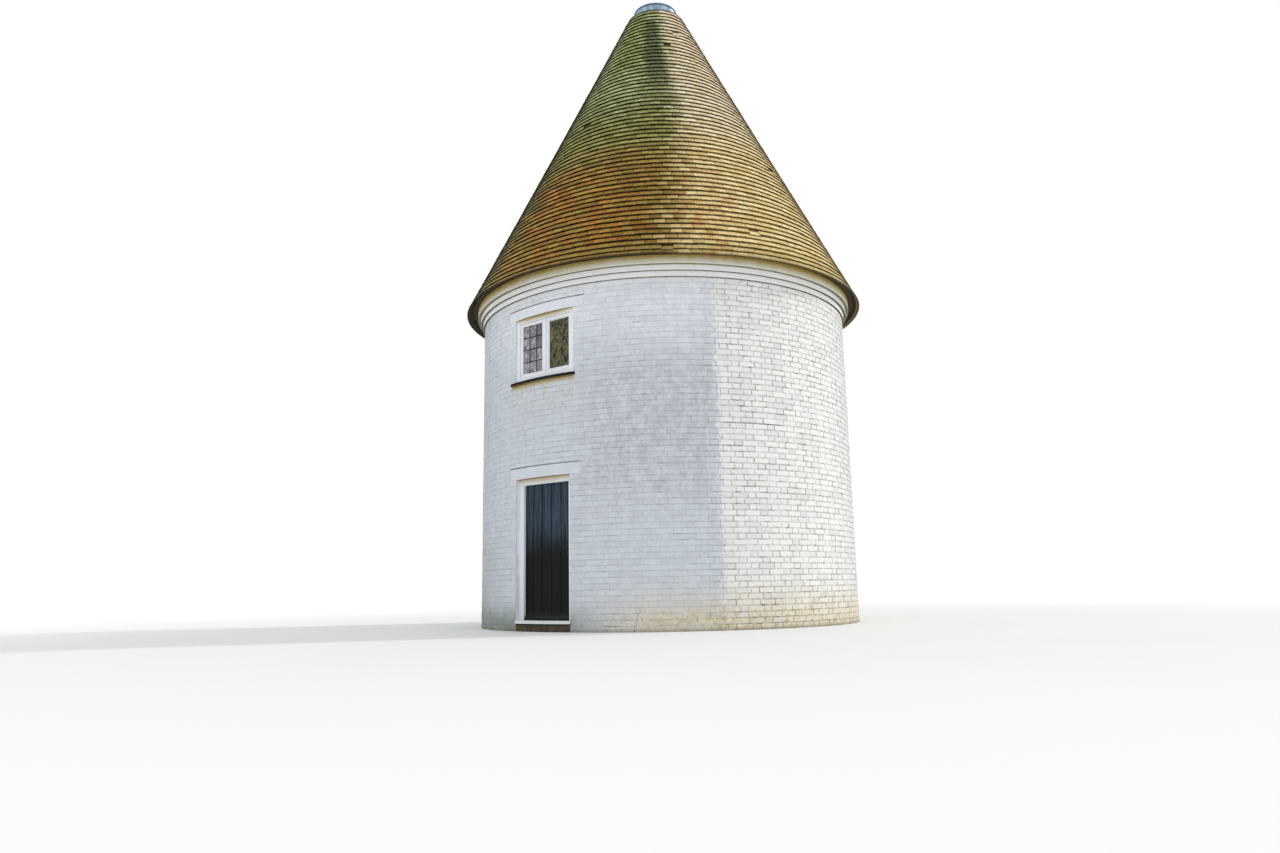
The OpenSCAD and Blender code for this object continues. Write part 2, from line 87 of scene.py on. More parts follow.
# Waves along a course of bricks or tiles start anywhere in a turn
ANY_PHASE = 6.28


def ramp(value, low, high):
    """0 at low, 1 at high, smooth between them."""
    t = min(1.0, max(0.0, (value - low) / (high - low)))
    return t * t * (3 - 2 * t)


def apart(a, b):
    """How far two directions lie apart, in degrees up to 180."""
    return abs((a - b + 180) % 360 - 180)


def add_object(name, data):
    """A new object in the scene."""
    made = bpy.data.objects.new(name, data)
    bpy.context.scene.collection.objects.link(made)
    return made


# Meshes made of many small closed blocks

def loft_faces(rings, count):
    """Faces of one closed block that runs through rings of count corners each, with a cap at both ends."""
    faces = [list(range(count))[::-1]]
    for ring in range(rings - 1):
        low, high = ring * count, (ring + 1) * count
        for i in range(count):
            j = (i + 1) % count
            faces.append([low + i, low + j, high + j, high + i])
    last = (rings - 1) * count
    faces.append([last + i for i in range(count)])
    return faces


class Blocks:
    """Collects closed blocks with their values, and makes them one mesh."""

    def __init__(self):
        self.corners, self.faces = [], []
        self.values = {"FACE": {}, "POINT": {}}

    def add(self, rings, at_corners=None, **values):
        """Adds the block through these rings of points, with one value for the whole block under each name.
        at_corners holds lists with one value for each point."""
        start = len(self.corners)
        for ring in rings:
            self.corners.extend(ring)
        faces = loft_faces(len(rings), len(rings[0]))
        self.faces.extend([[start + i for i in face] for face in faces])
        for name, value in values.items():
            self.values["FACE"].setdefault(name, []).extend([value] * len(faces))
        for name, each in (at_corners or {}).items():
            self.values["POINT"].setdefault(name, []).extend(each)

    def make(self, name, material, replaces=()):
        """Makes the mesh a piece of the building, with its values as attributes for the material."""
        mesh = bpy.data.meshes.new(name)
        mesh.from_pydata(self.corners, [], self.faces)
        for domain, named in self.values.items():
            for key, value in named.items():
                layer = mesh.attributes.new(key, "FLOAT", domain)
                layer.data.foreach_set("value", np.array(value, np.float32))
        mesh.materials.append(material)
        mesh.update()
        piece = add_object(name, mesh)
        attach(piece, "building")
        if replaces:
            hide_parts(*replaces)


def box_rings(low, high, chamfer=0.0):
    """Rings of an upright box between two corners, with its upright edges cut off by a chamfer."""
    (x0, y0, z0), (x1, y1, z1) = low, high
    outline = [(x0, y0), (x1, y0), (x1, y1), (x0, y1)]
    if chamfer:
        a0, a1, b0, b1 = x0 + chamfer, x1 - chamfer, y0 + chamfer, y1 - chamfer
        outline = [(a0, y0), (a1, y0), (x1, b0), (x1, b1), (a1, y1), (a0, y1), (x0, b1), (x0, b0)]
    return [[(x, y, z) for x, y in outline] for z in (z0, z1)]


def around(radius, angle, z):
    """Point at a radius, an angle in radians and a level."""
    return radius * math.sin(angle), -radius * math.cos(angle), z


# Node materials. Steps and bands over an angle are in degrees, those over a height in metres

class Shader:
    """One material under construction, with short names for the nodes that it uses most."""

    def __init__(self, name, roughness=0.8, metallic=0.0, specular=0.5):
        self.material = bpy.data.materials.new(name)
        self.material.use_nodes = True
        self.tree = self.material.node_tree
        self.surface = self.tree.nodes["Principled BSDF"]
        self.surface.inputs["Roughness"].default_value = roughness
        self.surface.inputs["Metallic"].default_value = metallic
        self.surface.inputs["Specular IOR Level"].default_value = specular
        self.place = self.node("ShaderNodeTexCoord").outputs["Object"]
        self.x, self.y, self.z = self.node("ShaderNodeSeparateXYZ", Vector=self.place).outputs

    def node(self, kind, settings=None, **inputs):
        """A new node with these settings, and with a value or a link for each input that is named."""
        made = self.tree.nodes.new(kind)
        for key, value in (settings or {}).items():
            setattr(made, key, value)
        for key, value in inputs.items():
            self.feed(made.inputs[key.replace("_", " ")], value)
        return made

    def feed(self, socket, value):
        """Links the socket to another one, or sets it to a constant."""
        if isinstance(value, bpy.types.NodeSocket):
            self.tree.links.new(value, socket)
        else:
            socket.default_value = value

    def math(self, operation, a, b=0.0):
        made = self.node("ShaderNodeMath", {"operation": operation})
        self.feed(made.inputs[0], a)
        self.feed(made.inputs[1], b)
        return made.outputs[0]

    def mul(self, first, *others):
        for other in others:
            first = self.math("MULTIPLY", first, other)
        return first

    def add(self, a, b):
        return self.math("ADD", a, b)

    def less(self, a, b):
        return self.math("SUBTRACT", a, b)

    def most(self, a, b):
        return self.math("MAXIMUM", a, b)

    def inverse(self, a):
        return self.less(1.0, a)

    def step(self, value, low, high):
        """0 at low, 1 at high, smooth between them. low may be the larger."""
        return self.node("ShaderNodeMapRange", {"interpolation_type": "SMOOTHSTEP"}, Value=value,
                         From_Min=min(low, high), From_Max=max(low, high),
                         To_Min=float(low > high), To_Max=float(low < high)).outputs["Result"]

    def band(self, value, rise_0, rise_1, fall_0, fall_1):
        """Rises from 0 to 1, stays, and falls back to 0."""
        return self.mul(self.step(value, rise_0, rise_1), self.step(value, fall_1, fall_0))

    def noise(self, scale, detail=3.0, stretch=(1, 1, 1), rough=0.55, seed=0.0):
        moved = self.node("ShaderNodeMapping", Vector=self.place, Scale=stretch, Location=(seed, seed, seed))
        return self.node("ShaderNodeTexNoise", Vector=moved.outputs[0], Scale=scale, Detail=detail,
                         Roughness=rough).outputs[0]

    def blotches(self, low, high, *noise, **settings):
        """Irregular patches from 0 to 1: this noise, drawn out between two of its values."""
        return self.step(self.noise(*noise, **settings), low, high)

    def stray(self, value, reach, scale, seed=0.0, stretch=(1, 1, 1)):
        """The value with smooth noise of about this reach added."""
        shift = self.less(self.noise(scale, 4.0, stretch, seed=seed), 0.5)
        return self.add(value, self.mul(shift, 3.0 * reach))

    def attribute(self, name):
        return self.node("ShaderNodeAttribute", {"attribute_name": name}).outputs["Fac"]

    def mix(self, share, a, b):
        """Colour a with this share of colour b. The node takes its colours at sockets 6 and 7."""
        made = self.node("ShaderNodeMix", {"data_type": "RGBA"})
        self.feed(made.inputs[0], share)
        self.feed(made.inputs[6], a)
        self.feed(made.inputs[7], b)
        return made.outputs[2]

    def wash(self, colour, tint, *masks):
        """The colour under a tint that is as strong as the product of the masks."""
        return self.mix(self.mul(*masks), colour, tint)

    def angle(self):
        """Angle round the tower from the middle of the door, in degrees from -180 to 180."""
        turned = self.math("ARCTAN2", self.x, self.mul(self.y, -1.0))
        return self.math("DEGREES", turned)

    def normal(self):
        """The three parts of the face's direction."""
        faced = self.node("ShaderNodeNewGeometry").outputs["Normal"]
        return self.node("ShaderNodeSeparateXYZ", Vector=faced).outputs

    def outward(self):
        """1 on faces that look away from the tower's axis, 0 on the others."""
        faced_x, faced_y, _ = self.normal()
        across = self.add(self.mul(faced_x, self.x), self.mul(faced_y, self.y))
        radius = self.math("SQRT", self.add(self.mul(self.x, self.x), self.mul(self.y, self.y)))
        return self.step(self.math("DIVIDE", across, radius), 0.5, 0.8)

    def bump(self, height, distance, strength=1.0):
        """Relief of this height on top of what the material has already."""
        made = self.node("ShaderNodeBump", Height=height, Distance=distance, Strength=strength)
        last = self.surface.inputs["Normal"]
        if last.is_linked:
            self.tree.links.new(last.links[0].from_socket, made.inputs["Normal"])
        self.tree.links.new(made.outputs[0], last)

    def colour(self, value):
        self.feed(self.surface.inputs["Base Color"], value)

    def roughness(self, value):
        self.feed(self.surface.inputs["Roughness"], value)


def srgb(red, green, blue):
    """Linear colour of three screen values from 0 to 255."""
    def linear(value):
        share = value / 255
        return share / 12.92 if share < 0.04045 else ((share + 0.055) / 1.055) ** 2.4
    return linear(red), linear(green), linear(blue), 1.0


# Limewash: whiter under the eaves as painted light and on the sunny side as painted sunlight, grimy in the
# middle, stained at the foot
# Painted light: the wall whiter high up
LIME_HIGH = srgb(243, 248, 254)
LIME_LOW = srgb(216, 222, 230)
LIME_SHADY = srgb(196, 208, 214)
LIME_SHADY_LOW = srgb(158, 166, 168)
# Painted sunlight on the sunny side, and the plainer white it fades back to towards the far side
LIME_SUNNY = srgb(249, 249, 246)
LIME_BACK = srgb(224, 226, 225)
GRIME = srgb(184, 185, 191)
MOSS = srgb(158, 168, 148)
FRECKLES = srgb(130, 138, 124)
BEIGE = srgb(230, 214, 176)
OLIVE_SPLASH = srgb(196, 190, 128)
RUSTY_SPLASH = srgb(196, 158, 112)
ALGAE = srgb(132, 142, 130)
SPECKS = srgb(112, 110, 88)
SOIL = srgb(104, 96, 66)
GREEN_RUNS = srgb(186, 188, 150)
OCHRE = srgb(206, 184, 120)
BROWN = srgb(146, 128, 62)


def limewash(s, uneven=0.0):
    """Colour of the limewashed wall outside. uneven shifts the edge of the painted sunlight on the sunny
    side, in degrees.
    """
    angle = s.angle()
    # Painted light: whiter towards the eaves
    colour = s.mix(s.step(s.stray(s.z, 0.3, 1.2), 3.3, 4.8), LIME_LOW, LIME_HIGH)
    colour = shady_lime(s, colour, angle)
    patches = s.add(s.mul(s.blotches(0.42, 0.59, 9.0, 9.0, (1, 1, 0.85), 0.8), 1.15), 0.2)
    middle = s.mul(s.band(s.stray(angle, 4.0, 0.8), 8.0, 22.0, 47.0, 52.0), s.band(s.z, 1.2, 2.2, 3.2, 3.9))
    colour = s.wash(colour, GRIME, patches, s.add(s.mul(middle, 0.42), 0.15))
    # Painted sunlight: whiter past the sun's edge, ragged brick by brick, plainer again towards the far side
    sunny = s.mul(s.step(s.add(s.stray(angle, 2.2, 26.0), uneven), 49.4, 50.8),
                  s.step(s.stray(angle, 5.0, 0.9, seed=7.0), 166.0, 126.0))
    painted_sunlight = s.mix(s.step(s.stray(angle, 6.0, 1.0), 84.0, 112.0), LIME_SUNNY, LIME_BACK)
    colour = s.wash(colour, painted_sunlight, sunny)
    colour = s.wash(colour, GRIME, s.blotches(0.54, 0.70, 5.0, 5.0, rough=0.7, seed=3.0), 0.18)
    return sill_stain(s, foot_stain(s, colour, angle), angle)


def shady_lime(s, colour, angle):
    """Left side of the wall: greyer, and darker low down, as painted shade with damp grime, with moss and
    freckles.
    """
    shady = s.mul(s.step(s.stray(angle, 3.0, 1.5), -8.0, -42.0), s.step(angle, -175.0, -120.0))
    # Painted shade with damp grime: the left side greyer, and darker still low down
    colour = s.wash(colour, LIME_SHADY, shady, 0.8)
    low = s.step(s.stray(s.z, 0.2, 2.0, seed=17.0), 1.7, 0.3)
    colour = s.wash(colour, LIME_SHADY_LOW, shady, low, 0.5)
    mossy = s.blotches(0.50, 0.66, 5.0, 6.0, (1, 1, 0.6), 0.7, 9.0)
    colour = s.wash(colour, MOSS, shady, mossy, 0.55)
    freckled = s.blotches(0.55, 0.66, 26.0, 4.0, rough=0.7, seed=16.0)
    return s.wash(colour, FRECKLES, shady, freckled, 0.4)


def foot_stain(s, colour, angle):
    """Beige splashes on the dry side of the wall's foot, algae on the damp side, and soil at the ground."""
    height = s.stray(s.stray(s.z, 0.05, 6.0), 0.09, 1.8, seed=12.0)
    dry = s.band(s.stray(angle, 3.0, 2.0), 12.0, 34.0, 140.0, 175.0)
    patchy = s.add(0.6, s.mul(s.blotches(0.42, 0.58, 6.0, 5.0, rough=0.65, seed=13.0), 0.4))
    colour = s.wash(colour, BEIGE, s.step(height, 0.76, 0.0), dry, patchy, 0.8)
    olive = s.mul(s.blotches(0.50, 0.62, 7.0, 5.0, (1, 1, 1.5), 0.7, 14.0), s.step(height, 0.40, 0.16))
    colour = s.wash(colour, OLIVE_SPLASH, olive, dry, 0.45)
    rusty = s.mul(s.blotches(0.50, 0.66, 13.0, 5.0, (1, 1, 1.5), 0.7, 6.0), s.step(height, 0.34, 0.10))
    colour = s.wash(colour, RUSTY_SPLASH, rusty, dry, 0.6)
    eaves_shade = s.inverse(s.band(angle, 2.0, 26.0, 140.0, 178.0))
    colour = s.wash(colour, ALGAE, s.step(height, 0.46, 0.06), eaves_shade, 0.95)
    specks = s.mul(s.blotches(0.57, 0.66, 24.0, 4.0, rough=0.7), s.step(height, 0.50, 0.10))
    colour = s.wash(colour, SPECKS, specks, 0.5)
    return s.wash(colour, SOIL, s.step(s.stray(s.z, 0.02, 9.0), 0.07, 0.0), 0.5)


def sill_stain(s, colour, angle):
    """Ochre line under the sill slate, brown close to it, with faint green runs below."""
    under = SLATE[0].z
    ragged = s.stray(s.z, 0.008, 14.0)
    beside = s.band(angle, -13.0, -12.0, 10.9, 11.6)
    runs = s.mul(s.blotches(0.46, 0.62, 13.0, 6.0, (1, 1, 0.5), 0.7, 11.0),
                 s.band(s.z, under - 0.70, under - 0.20, under, under + 0.01))
    colour = s.wash(colour, GREEN_RUNS, runs, beside, 0.5)
    for tint, strength, faint, full in ((OCHRE, 0.8, 0.085, 0.035), (BROWN, 0.85, 0.040, 0.012)):
        line = s.band(ragged, under - faint, under - full, under, under + 0.01)
        colour = s.wash(colour, tint, line, beside, strength)
    return colour


def shade_and_stain_below(s, colour, tint, strength):
    """Tints the faces that look down: painted shade under lintels, reveals, corbels and frames, and an ochre
    crust under the slate.
    """
    return s.wash(colour, tint, s.step(s.normal()[2], -0.45, -0.8), strength)


def make_brick_paint():
    """Limewash on the faces of the bricks, thin and dirty at their arrises, with painted shadow there on the
    sunny side.
    """
    s = Shader("painted_brick", 0.82, specular=0.3)
    tone = s.attribute("tone")
    colour = s.wash(limewash(s, s.mul(s.less(tone, 0.4), 1.5)), GRIME, tone, 0.26)
    grain = s.blotches(0.46, 0.64, 60.0, 4.0, (1, 1, 1.5), 0.75)
    colour = s.wash(colour, srgb(172, 174, 180), grain, 0.22)
    # Painted shadow: the arrises darker and browner on the sunny side
    sunny_joint_shadow = s.mul(s.step(s.angle(), 47.0, 54.0), s.blotches(0.44, 0.58, 6.0, 5.0, rough=0.7, seed=5.0))
    joint_dirt_and_shadow = s.mix(sunny_joint_shadow, srgb(150, 153, 156), srgb(138, 128, 112))
    s.colour(s.wash(colour, joint_dirt_and_shadow, s.attribute("arris"), s.add(s.mul(sunny_joint_shadow, 0.5), 0.24)))
    s.bump(s.noise(42.0, 4.0, rough=0.6), 0.004, 0.5)
    s.bump(s.noise(160.0, 3.0), 0.001, 0.6)
    rough_side = s.step(s.math("ABSOLUTE", s.angle()), 44.0, 52.0)
    s.bump(s.mul(rough_side, s.noise(15.0, 4.0, (1, 1, 1.4), 0.6, 4.0)), 0.02, 0.7)
    return s.material


def make_joint_paint():
    """The wall's own solids: beds between the bricks, reveals, and the rooms' limewash, with painted shadow
    in the beds on the sunny side and painted shade on the faces that look down.
    """
    s = Shader("painted_joints", 0.88, specular=0.25)
    cracked = s.blotches(0.50, 0.66, 7.0, 5.0, (1, 1, 4.0), 0.7, 5.0)
    rough_side = s.step(s.math("ABSOLUTE", s.angle()), 46.0, 54.0)
    # Painted shadow: beds darker and browner on the sunny side
    strength = s.add(s.mul(cracked, s.add(0.6, s.mul(rough_side, 0.25))), 0.24)
    bed = s.wash(limewash(s), s.mix(rough_side, srgb(112, 113, 114), srgb(96, 86, 72)), strength)
    inside = s.mix(s.blotches(0.45, 0.7, 3.0, 5.0), srgb(236, 242, 249), srgb(216, 220, 222))
    # Painted shade on the faces that look down
    s.colour(shade_and_stain_below(s, s.mix(s.outward(), inside, bed), srgb(128, 122, 94), 0.85))
    s.bump(s.noise(60.0, 4.0), 0.003, 0.5)
    return s.material


def make_render_paint():
    """Limewash on the smooth lintels, with ochre painted shade under them."""
    s = Shader("painted_render", 0.78, specular=0.3)
    colour = s.mix(0.12, limewash(s), srgb(230, 238, 248))
    # Ochre painted shade on the faces that look down
    s.colour(shade_and_stain_below(s, colour, srgb(168, 142, 70), 0.95))
    s.bump(s.noise(30.0, 4.0), 0.003, 0.4)
    s.bump(s.noise(160.0, 3.0), 0.0008, 0.4)
    return s.material


def make_corbel_paint():
    """Whitest of all under the eaves as painted light, with painted shade under each step, and ochre where
    the roof's damp reaches it.
    """
    s = Shader("painted_corbels", 0.82, specular=0.3)
    # Painted light: whiter than the wall, against the shade of the eaves
    colour = s.mix(s.mul(s.attribute("tone"), 0.18), srgb(249, 249, 248), srgb(214, 214, 210))
    colour = s.wash(colour, srgb(176, 164, 150), s.attribute("arris"), 0.08)
    # Painted shade under each step
    colour = shade_and_stain_below(s, colour, srgb(86, 82, 62), 0.95)
    ragged = s.stray(s.z, 0.022, 9.0, stretch=(1, 1, 0.35))
    colour = s.wash(colour, srgb(228, 212, 154), s.step(ragged, WALL_TOP - 0.26, WALL_TOP - 0.14), 0.8)
    s.colour(s.wash(colour, srgb(206, 174, 66), s.step(ragged, WALL_TOP - 0.17, WALL_TOP - 0.11), 0.9))
    s.bump(s.noise(45.0, 4.0), 0.003, 0.5)
    return s.material


# Clay tiles: each colour as that of the darkest tile and that of the lightest
CLAY = srgb(138, 112, 34), srgb(188, 158, 62)
RUST = srgb(162, 94, 26), srgb(206, 130, 48)
OLIVE = srgb(132, 132, 64), srgb(176, 176, 98)
MOSSY = srgb(154, 164, 108), srgb(202, 210, 150)
SHADED = srgb(98, 108, 60), srgb(146, 154, 98)
VIVID = srgb(124, 136, 44), srgb(162, 172, 82)
BLOTCHED = srgb(92, 96, 44), srgb(120, 120, 60)
# Lit copies of the tile colours: painted sunlight, partly pale lichen
PALE = srgb(224, 194, 124), srgb(252, 234, 174)
PALE_HIGH = srgb(228, 208, 164), srgb(253, 242, 212)
SUNLIT_RUST = srgb(196, 120, 52), srgb(232, 158, 84)
FAR_SIDE = srgb(190, 158, 104), srgb(214, 190, 140)


def shaded_tiles(s, tone, angle, height):
    """Tiles that the sun seldom reaches: rusty low in front, mossy higher up, dark green at the left."""
    colour = s.mix(tone, *CLAY)
    front = s.mul(s.band(angle, -40.0, -12.0, 20.0, 48.0), s.step(height, 7.7, 6.4))
    each = s.mul(s.less(s.math("FRACT", s.mul(tone, 7.0)), 0.5), 0.14)
    rusty = s.step(s.add(s.noise(3.2, 7.0, (1, 1, 1.6), 0.7, 8.0), each), 0.40, 0.57)
    colour = s.wash(colour, s.mix(tone, *RUST), rusty, s.add(s.mul(front, 0.62), 0.16))
    edge_dirt = s.mul(s.band(angle, 20.0, 28.0, 42.0, 50.0), s.step(s.z, 6.9, 6.3))
    colour = s.wash(colour, srgb(66, 54, 20), edge_dirt, 0.14)
    colour = s.wash(colour, s.mix(tone, *OLIVE), s.step(height, 6.2, 7.6))
    colour = s.wash(colour, s.mix(tone, *MOSSY), s.step(height, 7.5, 8.5))
    left = s.mul(s.step(angle, -4.0, -30.0), s.step(angle, -172.0, -120.0))
    colour = s.wash(colour, s.mix(tone, *SHADED), left, 0.85)
    vivid = s.mul(s.band(angle, -8.0, 2.0, 20.0, 28.0), s.step(height, 8.5, 9.2))
    return s.wash(colour, s.mix(tone, *VIVID), vivid, 0.7)


def sunny_tiles(s, tone, angle):
    """Tiles in painted sunlight, partly pale lichen: palest high up, and lit rusty orange low down at the
    edge of the shade.
    """
    pale = s.mix(s.step(s.z, 6.6, 8.2), s.mix(tone, *PALE), s.mix(tone, *PALE_HIGH))
    sunlit_rust = s.mul(s.blotches(0.48, 0.60, 5.0, 6.0, (1, 1, 1.6), 0.7, 15.0), s.step(s.z, 6.8, 6.1),
                     s.step(angle, 66.0, 50.0))
    pale = s.wash(pale, s.mix(tone, *SUNLIT_RUST), sunlit_rust, 0.7)
    pale = s.wash(pale, srgb(196, 156, 80), s.blotches(0.50, 0.62, 22.0, 6.0, rough=0.75), 0.55)
    return s.wash(pale, s.mix(tone, *FAR_SIDE), s.step(angle, 84.0, 120.0))


def tile_edges(s, colour, sunny):
    """Dark lines at the tail of each tile and under the tail above it, painted shade with some moss and
    darkest away from the sun, and painted shade at the eaves' edge, fainter in the sun.
    """
    along = s.attribute("along")
    tail = s.step(s.stray(along, 0.002, 30.0), 0.017, 0.006)
    tuck = s.step(s.stray(along, 0.0015, 30.0, seed=1.0), GAUGE - 0.022, GAUGE - 0.007)
    # Painted shade, with some moss: the lines darkest away from the sun
    line = s.mix(sunny, srgb(24, 22, 6), srgb(60, 44, 18))
    colour = s.wash(colour, line, s.most(tail, tuck), s.add(0.95, s.mul(sunny, -0.1)))
    # Painted shade at the eaves' edge, fainter in the sun
    eaves_shade = s.mul(s.step(s.stray(s.z, 0.004, 12.0), EAVES_Z + 0.044, EAVES_Z + 0.030),
                 s.inverse(s.mul(sunny, 0.6)))
    return s.wash(colour, srgb(40, 32, 12), eaves_shade, 0.85)


def make_tile():
    """Clay tiles in the shade and in painted sunlight, with their dirt and a sooty streak down from the cap.
    """
    s = Shader("clay_tile", 0.8, specular=0.3)
    tone = s.attribute("tone")
    angle = s.stray(s.add(s.angle(), s.mul(s.less(tone, 0.5), 5.5)), 4.0, 1.6, seed=2.0)
    height = s.stray(s.stray(s.z, 0.35, 1.4, seed=5.0), 0.22, 5.0, seed=3.0)
    blotch = s.blotches(0.50, 0.64, 9.0, 6.0, rough=0.7, seed=4.0)
    colour = s.wash(shaded_tiles(s, tone, angle, height), s.mix(tone, *BLOTCHED), blotch, 0.5)
    low_down = s.mul(s.most(s.less(7.6, s.z), 0.0), 2.5)
    # Painted sunlight on the tiles past the sun's edge
    sunny = s.mul(s.step(s.add(angle, low_down), 37.0, 54.0), s.step(angle, 172.0, 120.0))
    colour = s.wash(colour, sunny_tiles(s, tone, angle), sunny)
    leaning = s.add(s.stray(s.angle(), 2.5, 5.0), s.mul(s.less(s.z, 9.2), 5.0))
    soot = s.mul(s.band(leaning, 22.0, 29.0, 38.0, 45.0),
                 s.band(s.stray(s.z, 0.2, 2.0), 7.4, 8.9, 9.9, 10.15))
    colour = s.wash(colour, srgb(74, 82, 50), soot, 0.8)
    colour = s.wash(colour, srgb(138, 128, 62), s.step(s.z, 5.2, 4.98), 0.35)
    mottle = s.blotches(0.44, 0.62, 40.0, 5.0, rough=0.75, seed=6.0)
    colour = s.wash(colour, srgb(78, 70, 34), mottle, 0.28)
    s.colour(tile_edges(s, colour, sunny))
    s.roughness(s.add(0.66, s.mul(s.noise(20.0), 0.3)))
    s.bump(s.noise(90.0, 4.0, rough=0.6), 0.002, 0.6)
    s.bump(blotch, 0.003, 0.3)
    return s.material


def make_lining():
    """Underside of the tiles and their battens, seen from the rooms, with painted shade at the eaves."""
    s = Shader("tile_underside", 0.85)
    stripe = s.math("FRACT", s.mul(s.z, TILE_COURSES / ROOF_RISE))
    batten = s.mul(s.step(stripe, 0.0, 0.06), s.step(stripe, 0.34, 0.28))
    wood = s.mix(s.noise(30.0, 3.0, (1, 1, 6)), srgb(120, 92, 60), srgb(150, 120, 82))
    clay = s.mix(s.noise(12.0, 4.0), srgb(126, 78, 48), srgb(160, 104, 64))
    # Painted shade: dark brown at the eaves
    s.colour(s.wash(s.mix(batten, clay, wood), srgb(48, 38, 20), s.step(s.z, WALL_TOP + 0.10, WALL_TOP)))
    s.bump(batten, 0.02)
    s.bump(s.noise(70.0), 0.002, 0.6)
    return s.material


def make_wood(name, dark, light, roughness, grain):
    """Timber with a grain stretched along one axis."""
    s = Shader(name, roughness)
    fibre = s.noise(18.0, 5.0, grain, 0.65)
    s.colour(s.wash(s.mix(fibre, dark, light), dark, s.blotches(0.55, 0.8, 3.0, 4.0, seed=8.0), 0.35))
    s.bump(fibre, 0.002, 0.5)
    return s.material


def make_joinery():
    """White gloss paint on timber, with dust low down, an ochre painted shadow under the lintels, and
    painted shade on the faces that look down.
    """
    s = Shader("white_paint", 0.38, specular=0.4)
    dusty = s.blotches(0.5, 0.78, 7.0, 5.0, rough=0.65)
    colour = s.mix(s.mul(dusty, 0.2), srgb(240, 244, 250), srgb(206, 209, 208))
    low = s.step(s.z, 0.42, 0.10)
    colour = s.wash(colour, srgb(176, 178, 160), low, s.noise(10.0, 4.0, seed=2.0), 0.5)
    # Painted shadow of each lintel across the frame's head
    for head in (DOOR_LINTEL[0].z, WINDOW_LINTEL[0].z):
        under = s.band(s.stray(s.z, 0.006, 12.0), head - 0.07, head - 0.01, head, head + 0.1)
        colour = s.wash(colour, srgb(214, 200, 146), under, 0.6)
    # Painted shade on the faces that look down
    s.colour(shade_and_stain_below(s, colour, srgb(190, 182, 140), 0.5))
    s.bump(s.noise(22.0, 3.0, (1, 1, 0.15)), 0.001, 0.35)
    return s.material


def make_door_paint():
    """Black gloss brushed up and down the boards, faded blue-grey in the upper half, with a few blisters."""
    s = Shader("black_paint", 0.3, specular=0.12)
    brush = s.blotches(0.35, 0.65, 60.0, 4.0, (1, 1, 0.03), 0.6)
    upper = s.step(s.stray(s.z, 0.10, 2.5), 0.95, 1.55)
    faded = s.mix(brush, srgb(28, 42, 54), srgb(62, 80, 96))
    colour = s.wash(s.mix(brush, srgb(7, 10, 10), srgb(16, 20, 20)), faded, upper)
    for joint in BOARD_JOINTS:
        beside = s.math("ABSOLUTE", s.less(s.x, joint))
        colour = s.wash(colour, srgb(6, 8, 9), s.step(beside, 0.009, 0.003), 0.75)
    blisters = s.mul(s.blotches(0.68, 0.73, 55.0, 3.0, (1, 1, 0.5), seed=3.0),
                     s.mul(s.band(s.z, 0.9, 1.1, 1.5, 1.8), s.step(s.x, -0.05, 0.10)))
    colour = s.wash(colour, srgb(150, 160, 166), blisters, 0.8)
    s.colour(s.wash(colour, srgb(40, 44, 38), s.step(s.z, 0.32, 0.16), 0.4))
    s.roughness(s.add(0.26, s.mul(s.noise(8.0, 4.0), 0.2)))
    s.bump(brush, 0.0008, 0.5)
    s.bump(s.noise(5.0, 2.0, (1, 1, 0.4)), 0.004, 0.25)
    return s.material


def make_metal(name, dark, light, roughness, metallic, scale):
    """Metal with a patina whose blotches get smaller as the scale grows."""
    s = Shader(name, roughness, metallic)
    patina = s.noise(scale, 5.0, rough=0.65)
    s.colour(s.mix(s.step(patina, 0.35, 0.65), dark, light))
    s.roughness(s.add(roughness - 0.1, s.mul(patina, 0.25)))
    s.bump(patina, 0.001, 0.6)
    return s.material


def make_lead():
    """Weathered lead, darker at the rolled rim."""
    s = Shader("lead_sheet", 0.5, 0.25)
    patina = s.noise(14.0, 5.0, (1, 1, 0.5), 0.65)
    colour = s.mix(s.step(patina, 0.35, 0.65), srgb(128, 150, 178), srgb(176, 196, 216))
    rim = s.step(s.z, CAP_TOP - RIM_HIGH - 0.01, CAP_TOP - RIM_HIGH + 0.01)
    s.colour(s.wash(colour, srgb(74, 92, 120), rim, 0.8))
    s.bump(patina, 0.004, 0.6)
    return s.material


def make_slate():
    """Split slate, with an ochre crust underneath."""
    s = Shader("slate", 0.75, specular=0.15)
    layers = s.noise(12.0, 5.0, (1, 1, 5))
    s.colour(shade_and_stain_below(s, s.mix(layers, srgb(10, 12, 17), srgb(26, 28, 34)), srgb(138, 120, 62), 0.9))
    s.bump(layers, 0.003, 0.5)
    return s.material


def make_glass(name, dark, light, clear):
    """Old window glass with a painted reflection, mottled and partly a film of dirt, and dark rooms behind
    it.
    """
    s = Shader(name, 0.08, specular=0.25)
    # Painted reflection and dirt: mottled between the dark and the light colour
    reflection_and_dirt = s.add(s.mul(s.noise(32.0, 4.0, (1, 1, 0.7), 0.7), 0.72), s.mul(s.noise(7.0, 4.0, seed=2.0), 0.28))
    colour = s.mix(s.step(reflection_and_dirt, 0.36, 0.66), dark, light)
    s.colour(s.wash(colour, dark, s.attribute("tone"), 0.8))
    s.surface.inputs["Transmission Weight"].default_value = clear
    s.surface.inputs["IOR"].default_value = 1.3
    s.bump(s.noise(5.0, 2.0), 0.002, 0.2)
    return s.material


def make_floor_brick():
    """Red pavers under trodden dust."""
    s = Shader("floor_brick", 0.85)
    colour = s.mix(s.attribute("tone"), srgb(120, 66, 46), srgb(172, 104, 74))
    s.colour(s.wash(colour, srgb(160, 146, 126), s.blotches(0.4, 0.7, 6.0, 5.0), 0.5))
    s.bump(s.noise(60.0, 4.0), 0.002, 0.6)
    return s.material


